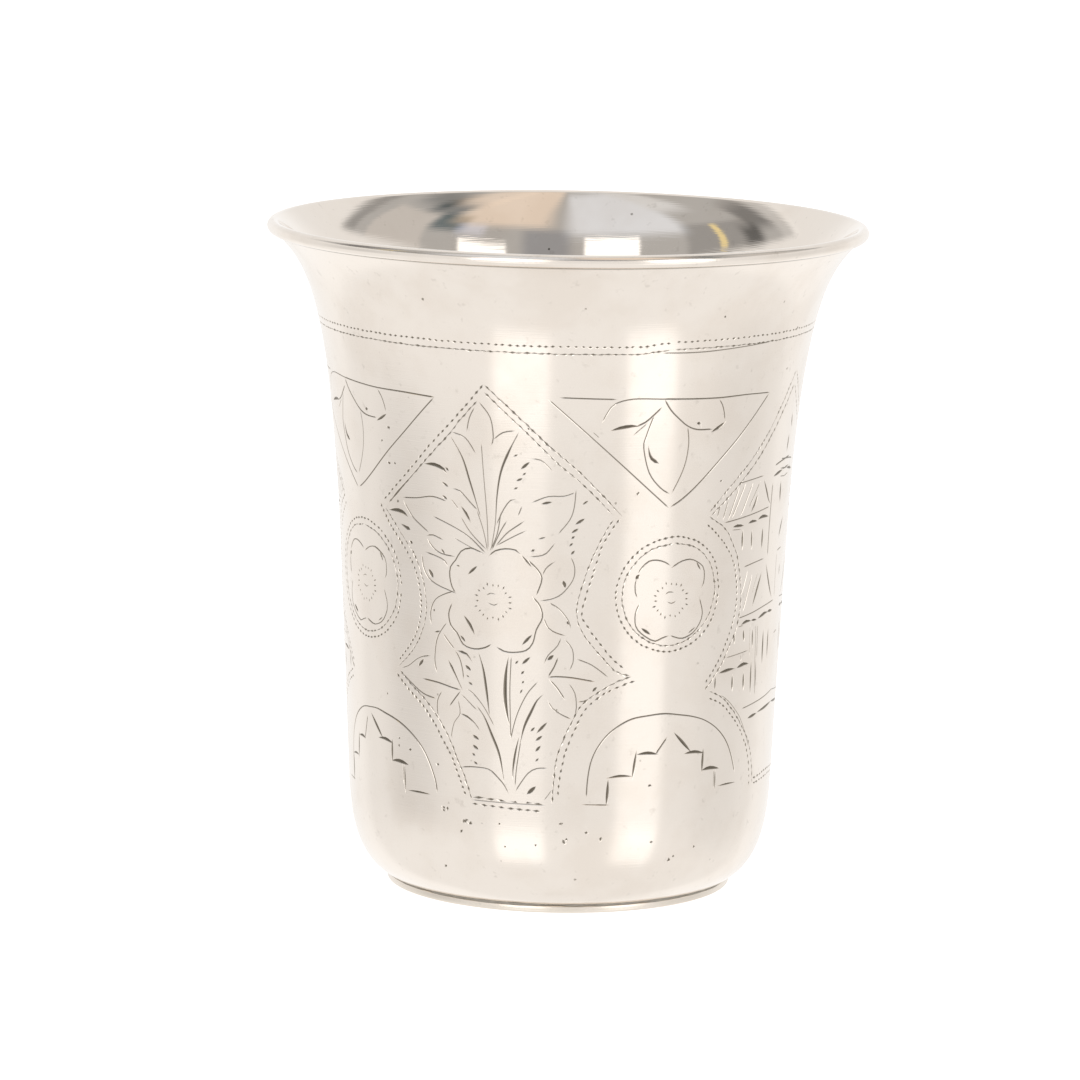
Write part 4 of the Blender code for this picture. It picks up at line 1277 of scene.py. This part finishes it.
@dataclass
class FootRing:
    """The ring of silver wire that the cup stands on, worn round on its outer edges."""

    radius: float = 20.72
    width: float = 2.0
    height: float = 0.9
    rounding: float = 0.24
    rounding_steps: int = 4
    rounded_from: float = 1.0
    segments: int = 180

    def build(self, finish: "OldSilver", shape: CupShape) -> bpy.types.Object:
        """Build and dress the ring.

        Args:
            finish: Its silver.
            shape: The cup above it.

        Returns:
            The finished object.
        """
        mesh = bmesh.new()
        inner = self.radius - self.width
        corners = [(self.radius, self.height), (self.radius, 0.0), (inner, 0.0), (inner, self.height)]
        spin_round(mesh, corners, Vector((1.0, 0.0)), self.segments, closed=True)
        bmesh.ops.recalc_face_normals(mesh, faces=mesh.faces)
        mesh.normal_update()
        rims = [edge for edge in mesh.edges if edge.calc_face_angle(0.0) > self.rounded_from]
        bmesh.ops.bevel(mesh, geom=rims, offset=self.rounding * MM, offset_type="OFFSET", affect="EDGES",
                        segments=self.rounding_steps, profile=0.5, material=-1, clamp_overlap=True)
        bmesh.ops.recalc_face_normals(mesh, faces=mesh.faces)
        return finished("ring", mesh, finish.material(shape))


@dataclass
class SolderLine:
    """The old solder between the cup and the ring: low, dark and a little ragged."""

    radius: float = 20.2
    width: float = 1.3
    height: float = 0.62
    middle: float = 1.05
    raggedness: float = 0.22
    wave_counts: tuple[int, ...] = (5, 9, 14, 23, 37)
    wave_reach: float = 3.0
    profile_points: int = 10
    segments: int = 240
    seed: int = 5

    def build(self, finish: "Solder") -> bpy.types.Object:
        """Build and dress the solder line.

        Args:
            finish: What the solder looks like.

        Returns:
            The finished object.
        """
        mesh = bmesh.new()
        bmesh.ops.create_circle(mesh, cap_ends=False, segments=self.profile_points, radius=0.5)
        for vert in mesh.verts:
            vert.co = Vector(((self.radius + vert.co.x * self.width) * MM, 0.0,
                              (self.middle + vert.co.y * self.height) * MM))
        bmesh.ops.spin(mesh, geom=mesh.verts[:] + mesh.edges[:], cent=(0, 0, 0), axis=(0, 0, 1),
                       angle=math.tau, steps=self.segments, use_merge=True)
        chance = Random(self.seed)
        phases = [(count, chance.uniform(0, math.tau)) for count in self.wave_counts]
        for vert in mesh.verts:
            angle = math.atan2(vert.co.x, -vert.co.y)
            wave = sum(math.sin(count * angle + phase) for count, phase in phases) / self.wave_reach
            push = self.raggedness * wave * MM
            if vert.co.xy.length > self.radius * MM:
                vert.co += Vector((vert.co.x, vert.co.y, 0.0)).normalized() * push
        bmesh.ops.recalc_face_normals(mesh, faces=mesh.faces)
        return finished("solder_line", mesh, finish.material())


def blank_material(name: str) -> tuple[bpy.types.Material, Socket]:
    """Start a material whose patterns are laid out in millimetres on the piece.

    Args:
        name: The material's name.

    Returns:
        The material, and the socket that gives the place in millimetres.
    """
    material = bpy.data.materials.new(name)
    material.use_nodes = True
    tree = material.node_tree
    tree.nodes.clear()
    place = add_node(tree, "ShaderNodeTexCoord").outputs["Object"]
    in_mm = add_node(tree, "ShaderNodeMapping", {"Scale": (1 / MM,) * 3}, {"Vector": place}).outputs[0]
    return material, in_mm


@dataclass(frozen=True)
class OldSilver:
    """Raised silver, polished by hand for many years.

    The eye sees a warm white metal with soft reflections, a hazy film where it is rubbed less, and dark
    sulphide left in every cut. The same dark colour also paints shade into the crease under the lip.
    """

    name: str
    metal: str = "#EEE5DB"
    film: str = "#E9DFD4"
    tarnish_and_crease_shade: str = "#81796D"
    roughness: float = 0.15
    film_roughness: float = 0.04
    cut_roughness: float = 0.25
    inside_roughness: float = 0.06
    film_size: float = 9.0
    film_limits: tuple[float, float] = (0.42, 0.68)
    speck_size: float = 1.3
    speck_limits: tuple[float, float] = (0.62, 0.80)
    speck_strength: float = 0.16
    dark_depth: float = 0.065
    pit_spacing: float = 3.0
    pit_radius: float = 0.2
    pit_edge: float = 0.6
    scratch_width: float = 0.12
    scratch_length: float = 5.0
    scratch_depth: float = 0.0025
    scratch_turns: tuple[tuple[float, float, float], ...] = (
        (0.0, 0.35, 0.2), (0.3, -0.6, 1.4), (1.2, 0.4, 2.5))

    def material(self, shape: CupShape) -> bpy.types.Material:
        """Make the material.

        Args:
            shape: The cup, whose wall tells the inside from the outside.

        Returns:
            The material.
        """
        material, in_mm = blank_material(self.name)
        tree = material.node_tree
        shares = []
        for size, detail, roughness, (low, high) in ((self.film_size, 3.0, 0.60, self.film_limits),
                                                     (self.speck_size, 2.0, 0.65, self.speck_limits)):
            noise = add_node(tree, "ShaderNodeTexNoise",
                             {"Scale": 1 / size, "Detail": detail, "Roughness": roughness}, {"Vector": in_mm})
            shares.append(add_node(tree, "ShaderNodeMapRange", {**SMOOTH, 1: low, 2: high},
                                   {0: noise.outputs[0]}).outputs[0])
        film_share, speck_share = shares
        # The cut depth also holds the painted shade of the lip crease: the tarnish colour darkens the cuts as
        # sulphide and the crease as painted shade
        depth = add_node(tree, "ShaderNodeAttribute", {"attribute_name": "cut"}).outputs["Fac"]
        cut_tarnish_and_crease_shade = add_node(tree, "ShaderNodeMapRange", {**SMOOTH, 1: 0.0, 2: self.dark_depth}, {0: depth})
        dark = add_node(tree, "ShaderNodeMath", {"operation": "MAXIMUM"},
                        {0: cut_tarnish_and_crease_shade.outputs[0], 1: self.pits(tree, in_mm, film_share)}).outputs[0]
        speck_dim = add_node(tree, "ShaderNodeMath", {"operation": "MULTIPLY", 1: self.speck_strength},
                             {0: speck_share}).outputs[0]
        colour = self.mixed(tree, film_share, linear(self.metal), linear(self.film))
        colour = self.mixed(tree, speck_dim, colour, linear(self.tarnish_and_crease_shade))
        colour = self.mixed(tree, dark, colour, linear(self.tarnish_and_crease_shade))
        rough = add_node(tree, "ShaderNodeMath", {"operation": "MULTIPLY_ADD", 1: self.film_roughness,
                                                  2: self.roughness}, {0: film_share}).outputs[0]
        rough = add_node(tree, "ShaderNodeMath", {"operation": "MULTIPLY_ADD", 1: self.cut_roughness},
                         {0: dark, 2: rough}).outputs[0]
        rough = add_node(tree, "ShaderNodeMix", {"data_type": "FLOAT", 3: self.inside_roughness},
                         {0: self.inside_share(tree, in_mm, shape), 2: rough}).outputs[0]
        shader = add_node(tree, "ShaderNodeBsdfPrincipled", {"Metallic": 1.0},
                          {"Base Color": colour, "Roughness": rough, "Normal": self.scratches(tree, in_mm)})
        add_node(tree, "ShaderNodeOutputMaterial", {}, {"Surface": shader.outputs[0]})
        return material

    @staticmethod
    def mixed(tree: Tree, share: Socket, first: Colour | Socket,
              second: Colour | Socket) -> Socket:
        """Mix two colours.

        Args:
            tree: The node tree.
            share: The share of the second colour.
            first: A fixed colour or a socket.
            second: A fixed colour or a socket.

        Returns:
            The socket of the mixed colour.
        """
        settings, links = {"data_type": "RGBA"}, {0: share}
        for number, value in ((6, first), (7, second)):
            (links if isinstance(value, Socket) else settings)[number] = value
        return add_node(tree, "ShaderNodeMix", settings, links).outputs[2]

    @staticmethod
    def inside_share(tree: Tree, in_mm: Socket,
                     shape: CupShape) -> Socket:
        """Tell the inside from the outside by the way that a face points.

        Args:
            tree: The node tree.
            in_mm: The place in millimetres.
            shape: The cup.

        Returns:
            A socket with 1 on the inside wall and the floor of the cup, and 0 outside.
        """
        parts = add_node(tree, "ShaderNodeSeparateXYZ", {}, {0: in_mm})
        facing = add_node(tree, "ShaderNodeNewGeometry").outputs["True Normal"]
        around = add_node(tree, "ShaderNodeCombineXYZ", {}, {0: parts.outputs[0], 1: parts.outputs[1]})
        outward = add_node(tree, "ShaderNodeVectorMath", {"operation": "DOT_PRODUCT"},
                           {0: facing, 1: around.outputs[0]})
        inward = add_node(tree, "ShaderNodeMath", {"operation": "LESS_THAN", 1: 0.0},
                          {0: outward.outputs["Value"]})
        above = add_node(tree, "ShaderNodeMath",
                         {"operation": "GREATER_THAN", 1: shape.base_height + shape.base_margin},
                         {0: parts.outputs["Z"]})
        return add_node(tree, "ShaderNodeMath", {"operation": "MULTIPLY"},
                        {0: inward.outputs[0], 1: above.outputs[0]}).outputs[0]

    def pits(self, tree: Tree, in_mm: Socket,
             film_share: Socket) -> Socket:
        """Scatter specks of corrosion, more of them where the film is thick.

        Args:
            tree: The node tree.
            in_mm: The place in millimetres.
            film_share: How thick the film is.

        Returns:
            A socket with 1 in a speck and 0 beside it.
        """
        ragged = add_node(tree, "ShaderNodeTexNoise", {"Scale": 1 / self.pit_radius, "Detail": 1.0},
                          {"Vector": in_mm}).outputs["Color"]
        moved = add_node(tree, "ShaderNodeVectorMath",
                         {"operation": "MULTIPLY_ADD", 1: (self.pit_radius,) * 3}, {0: ragged, 2: in_mm})
        cells = add_node(tree, "ShaderNodeTexVoronoi", {"Scale": 1 / self.pit_spacing},
                         {"Vector": moved.outputs[0]})
        reach = self.pit_radius / self.pit_spacing
        near = add_node(tree, "ShaderNodeMapRange", {1: reach, 2: reach * self.pit_edge},
                        {0: cells.outputs["Distance"]})
        return add_node(tree, "ShaderNodeMath", {"operation": "MULTIPLY"},
                        {0: near.outputs[0], 1: film_share}).outputs[0]

    def scratches(self, tree: Tree, in_mm: Socket) -> Socket:
        """Lay fine polishing scratches in three directions, coarser than real ones so that they show.

        Args:
            tree: The node tree.
            in_mm: The place in millimetres.

        Returns:
            The socket of the bumped direction.
        """
        links = {}
        scale = (1 / self.scratch_length, 1 / self.scratch_length, 1 / self.scratch_width)
        for turn in self.scratch_turns:
            stretched = add_node(tree, "ShaderNodeMapping", {"Rotation": turn, "Scale": scale},
                                 {"Vector": in_mm})
            lines = add_node(tree, "ShaderNodeTexNoise", {"Scale": 1.0, "Detail": 1.0},
                             {"Vector": stretched.outputs[0]})
            bump = add_node(tree, "ShaderNodeBump", {"Strength": 1.0, "Distance": self.scratch_depth * MM},
                            {"Height": lines.outputs[0], **links})
            links = {"Normal": bump.outputs[0]}
        return links["Normal"]


@dataclass(frozen=True)
class Solder:
    """Old hard solder, left as it flowed: to the eye a dark grey line, dull and slightly rough with grime."""

    name: str = "solder_grime"
    dark: str = "#7C766D"
    pale: str = "#ADA69B"
    grain: float = 0.8
    grain_depth: float = 0.05
    metallic: float = 0.6
    roughness: float = 0.62

    def material(self) -> bpy.types.Material:
        """Make the material.

        Returns:
            The material.
        """
        material, in_mm = blank_material(self.name)
        tree = material.node_tree
        grain = add_node(tree, "ShaderNodeTexNoise", {"Scale": 1 / self.grain, "Detail": 4.0},
                         {"Vector": in_mm}).outputs[0]
        colour = add_node(tree, "ShaderNodeMix",
                          {"data_type": "RGBA", 6: linear(self.dark), 7: linear(self.pale)}, {0: grain})
        bump = add_node(tree, "ShaderNodeBump", {"Strength": 0.6, "Distance": self.grain_depth * MM},
                        {"Height": grain})
        shader = add_node(tree, "ShaderNodeBsdfPrincipled",
                          {"Metallic": self.metallic, "Roughness": self.roughness},
                          {"Base Color": colour.outputs[2], "Normal": bump.outputs[0]})
        add_node(tree, "ShaderNodeOutputMaterial", {}, {"Surface": shader.outputs[0]})
        return material


@dataclass(frozen=True)
class Patch:
    """A soft bright or dark patch of the studio, as a range of azimuth and elevation in degrees."""

    azimuth: float
    half_width: float
    low: float
    high: float
    light: float
    colour: str = "#FFFFFF"
    side_soft: float = 6.0
    end_soft: float = 6.0


@dataclass(frozen=True)
class Window:
    """A tall soft light, with the glow that it throws on the table before it."""

    azimuth: float
    half_width: float
    top: float
    near_glow: float

    def patches(self) -> tuple[Patch, ...]:
        """Split the window into the light itself and the brighter table under it.

        Returns:
            The patches.
        """
        return (Patch(self.azimuth, self.half_width, -7, self.top, 1.1, side_soft=2, end_soft=2),
                Patch(self.azimuth, self.half_width, -24, -7, self.near_glow, side_soft=4),
                Patch(self.azimuth, self.half_width, -38, -22, 0.36, side_soft=3, end_soft=8))


@dataclass
class Studio:
    """The pale floor, the soft surroundings and the camera."""

    # The camera's place in metres and its turns in radians
    camera_place: tuple[float, float, float] = (0.0, -0.73536, 0.161392)
    yaw: float = -0.0038
    pitch: float = 0.16184
    roll: float = 0.01541
    focal_pixels: float = 6181.45
    image_pixels: float = 1080.0
    sensor: float = 36.0
    nearest: float = 0.01
    floor_size: float = 12.0
    floor_colour: str = "#FFFFFF"
    floor_glow: float = 0.85
    floor_share: float = 0.5
    floor_roughness: float = 0.7
    room: str = "#F7F7F7"
    windows: tuple[Window, ...] = (Window(-22.5, 14.0, 38, 0.10), Window(44.0, 12.5, 34, 0.24))
    patches: tuple[Patch, ...] = (
        # The walls of the cup see the table: darker to the sides, bright behind and near the foot
        Patch(-86, 17, -18, 14, -0.17, side_soft=26, end_soft=12),
        Patch(96, 17, -30, 14, -0.07, side_soft=22, end_soft=12),
        Patch(180, 50, -60, 14, 0.10, side_soft=14, end_soft=14),
        Patch(0, 180, -89.9, -20, 0.08, end_soft=20),
        # The mouth sees the ceiling: grey, with tan and pale blue parts and dark edges
        Patch(0, 128, 26, 89.9, -0.42),
        Patch(-32, 32, 40, 84, 0.44, "#DCE8FA", 12, 10), Patch(-76, 12, 62, 86, 0.34, "#E8F0FA", 12, 12),
        Patch(38, 28, 46, 89, 0.38, "#FFDCB4", 14, 10), Patch(77, 13, 65, 88, 0.34, "#FFDCB4", 14, 12),
        Patch(94, 17, 26, 53, 0.13, "#FFEFE0", 4, 4), Patch(52, 8, 37, 46, 0.30, "#D4DCFF"),
        Patch(66, 10, 39, 54, -0.34, "#FFF2EC", 8, 8), Patch(80, 12, 53, 65, -0.24, "#FFF8F4", 10, 10),
        Patch(97, 12, 58, 70, -0.22, "#FFF8F4", 10, 10), Patch(122, 3, 28, 62, -0.14, side_soft=4),
        Patch(-84, 22, 26, 47, -0.14), Patch(-112, 7, 37, 56, -0.26, side_soft=7, end_soft=12),
        Patch(-102, 6, 26, 40, -0.22, side_soft=7, end_soft=10), Patch(-125, 5, 26, 60, 0.14),
        Patch(-82, 2, 28, 46, 0.55, "#FFDE50", 1.5, 2), Patch(11, 12, 26, 43, -0.14, "#FFF4DC", 8))

    def build(self) -> None:
        """Build everything that is not part of the object."""
        self.floor()
        self.surroundings()
        self.camera()
        scene = bpy.context.scene
        scene.view_settings.view_transform = "Standard"
        scene.view_settings.look = "None"

    def floor(self) -> None:
        """Lay a plain pale table top, matt and evenly bright to the eye as a paper backdrop is."""
        mesh = bmesh.new()
        bmesh.ops.create_grid(mesh, x_segments=1, y_segments=1, size=self.floor_size / 2)
        material = bpy.data.materials.new("pale_table")
        material.use_nodes = True
        inputs = material.node_tree.nodes["Principled BSDF"].inputs
        inputs["Base Color"].default_value = (self.floor_share,) * 3 + (1.0,)
        inputs["Roughness"].default_value = self.floor_roughness
        inputs["Emission Color"].default_value = linear(self.floor_colour)
        inputs["Emission Strength"].default_value = self.floor_glow
        piece = finished("table_top", mesh, material)
        # The silver sees the room's own dark and bright parts in place of the table
        piece.visible_glossy = False

    def surroundings(self) -> None:
        """Light the piece from all round: a pale room with soft windows, brighter and darker by direction."""
        world = bpy.data.worlds.new("studio")
        bpy.context.scene.world = world
        world.use_nodes = True
        # The light is almost even, so that rays find it by themselves, and the picture takes less time
        world.cycles.sampling_method = "NONE"
        tree = world.node_tree
        tree.nodes.clear()
        way = add_node(tree, "ShaderNodeTexCoord").outputs["Generated"]
        parts = add_node(tree, "ShaderNodeSeparateXYZ", {}, {0: way})
        front = add_node(tree, "ShaderNodeMath", {"operation": "MULTIPLY", 1: -1.0}, {0: parts.outputs[1]})
        azimuth = add_node(tree, "ShaderNodeMath", {"operation": "ARCTAN2"},
                           {0: parts.outputs[0], 1: front.outputs[0]}).outputs[0]
        elevation = add_node(tree, "ShaderNodeMath", {"operation": "ARCSINE"},
                             {0: parts.outputs[2]}).outputs[0]
        light = add_node(tree, "ShaderNodeRGB").outputs[0]
        light.default_value = linear(self.room)
        for patch in (*self.patches, *(patch for window in self.windows for patch in window.patches())):
            share = self.patch_share(tree, azimuth, elevation, patch)
            tint = [value * patch.light for value in linear(patch.colour)[:3]]
            added = add_node(tree, "ShaderNodeVectorMath", {"operation": "SCALE", 0: tint}, {"Scale": share})
            light = add_node(tree, "ShaderNodeVectorMath", {"operation": "ADD"},
                             {0: light, 1: added.outputs[0]}).outputs[0]
        background = add_node(tree, "ShaderNodeBackground", {"Strength": 1.0}, {"Color": light})
        add_node(tree, "ShaderNodeOutputWorld", {}, {"Surface": background.outputs[0]})

    @staticmethod
    def patch_share(tree: Tree, azimuth: Socket, elevation: Socket,
                    patch: Patch) -> Socket:
        """Tell how much of a patch a direction sees.

        Args:
            tree: The world's node tree.
            azimuth: The direction's azimuth in radians.
            elevation: Its elevation in radians.
            patch: The patch.

        Returns:
            A socket with the share, from 0 to 1.
        """
        turned = add_node(tree, "ShaderNodeMath", {"operation": "SUBTRACT", 1: math.radians(patch.azimuth)},
                          {0: azimuth}).outputs[0]
        wrapped = add_node(tree, "ShaderNodeMath", {"operation": "WRAP", 1: math.pi, 2: -math.pi},
                           {0: turned}).outputs[0]
        away = add_node(tree, "ShaderNodeMath", {"operation": "ABSOLUTE"}, {0: wrapped}).outputs[0]
        side_soft, end_soft = math.radians(patch.side_soft / 2), math.radians(patch.end_soft / 2)
        edges = ((away, math.radians(patch.half_width), -side_soft),
                 (elevation, math.radians(patch.low), end_soft),
                 (elevation, math.radians(patch.high), -end_soft))
        product = None
        for along, at, soft in edges:
            share = add_node(tree, "ShaderNodeMapRange", {**SMOOTH, 1: at - soft, 2: at + soft},
                             {0: along}).outputs[0]
            product = share if product is None else add_node(
                tree, "ShaderNodeMath", {"operation": "MULTIPLY"}, {0: product, 1: share}).outputs[0]
        return product

    def camera(self) -> None:
        """Set up the camera, as fitted to the outlines of the rim, the wall and the foot."""
        lens_data = bpy.data.cameras.new("camera")
        lens_data.sensor_width = self.sensor
        lens_data.lens = self.focal_pixels / self.image_pixels * self.sensor
        lens_data.clip_start = self.nearest
        camera = bpy.data.objects.new("camera", lens_data)
        bpy.context.scene.collection.objects.link(camera)
        level = Vector((math.cos(self.yaw), -math.sin(self.yaw), 0.0))
        ahead = Vector((math.sin(self.yaw), math.cos(self.yaw), 0.0))
        forward = ahead * math.cos(self.pitch) - Vector((0.0, 0.0, math.sin(self.pitch)))
        above = level.cross(forward)
        right = level * math.cos(self.roll) + above * math.sin(self.roll)
        up = above * math.cos(self.roll) - level * math.sin(self.roll)
        turn = Matrix((right, up, -forward)).transposed().to_4x4()
        camera.matrix_world = Matrix.Translation(self.camera_place) @ turn
        bpy.context.scene.camera = camera


def main() -> None:
    """Build the pieces and the studio, and tie each piece to the frame."""
    logging.basicConfig(level=logging.INFO, format="%(name)s: %(message)s")
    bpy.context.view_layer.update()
    low, high = (Vector(corner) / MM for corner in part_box("beaker_body"))
    shape = CupShape(height=high.z, rim_radius=(high.x - low.x) / 2)
    engraving = Engraving()
    engraving.lay_out()
    LOG.info("engraving: %d cuts, %d dents", len(engraving.cuts), len(engraving.dents))
    cup = Cup(shape, engraving).build(OldSilver("engraved_silver"))
    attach(cup, "root")
    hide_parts("beaker_body")
    LOG.info("%s: %d triangles", cup.name, sum(len(face.vertices) - 2 for face in cup.data.polygons))
    ring = FootRing().build(OldSilver("ring_silver", metal="#E6DCCF", roughness=0.24), shape)
    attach(ring, "root")
    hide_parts("foot_ring")
    LOG.info("%s: %d faces", ring.name, len(ring.data.polygons))
    solder = SolderLine().build(Solder())
    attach(solder, "root")
    LOG.info("%s: %d faces", solder.name, len(solder.data.polygons))
    Studio().build()


if __name__ == "__main__":
    main()
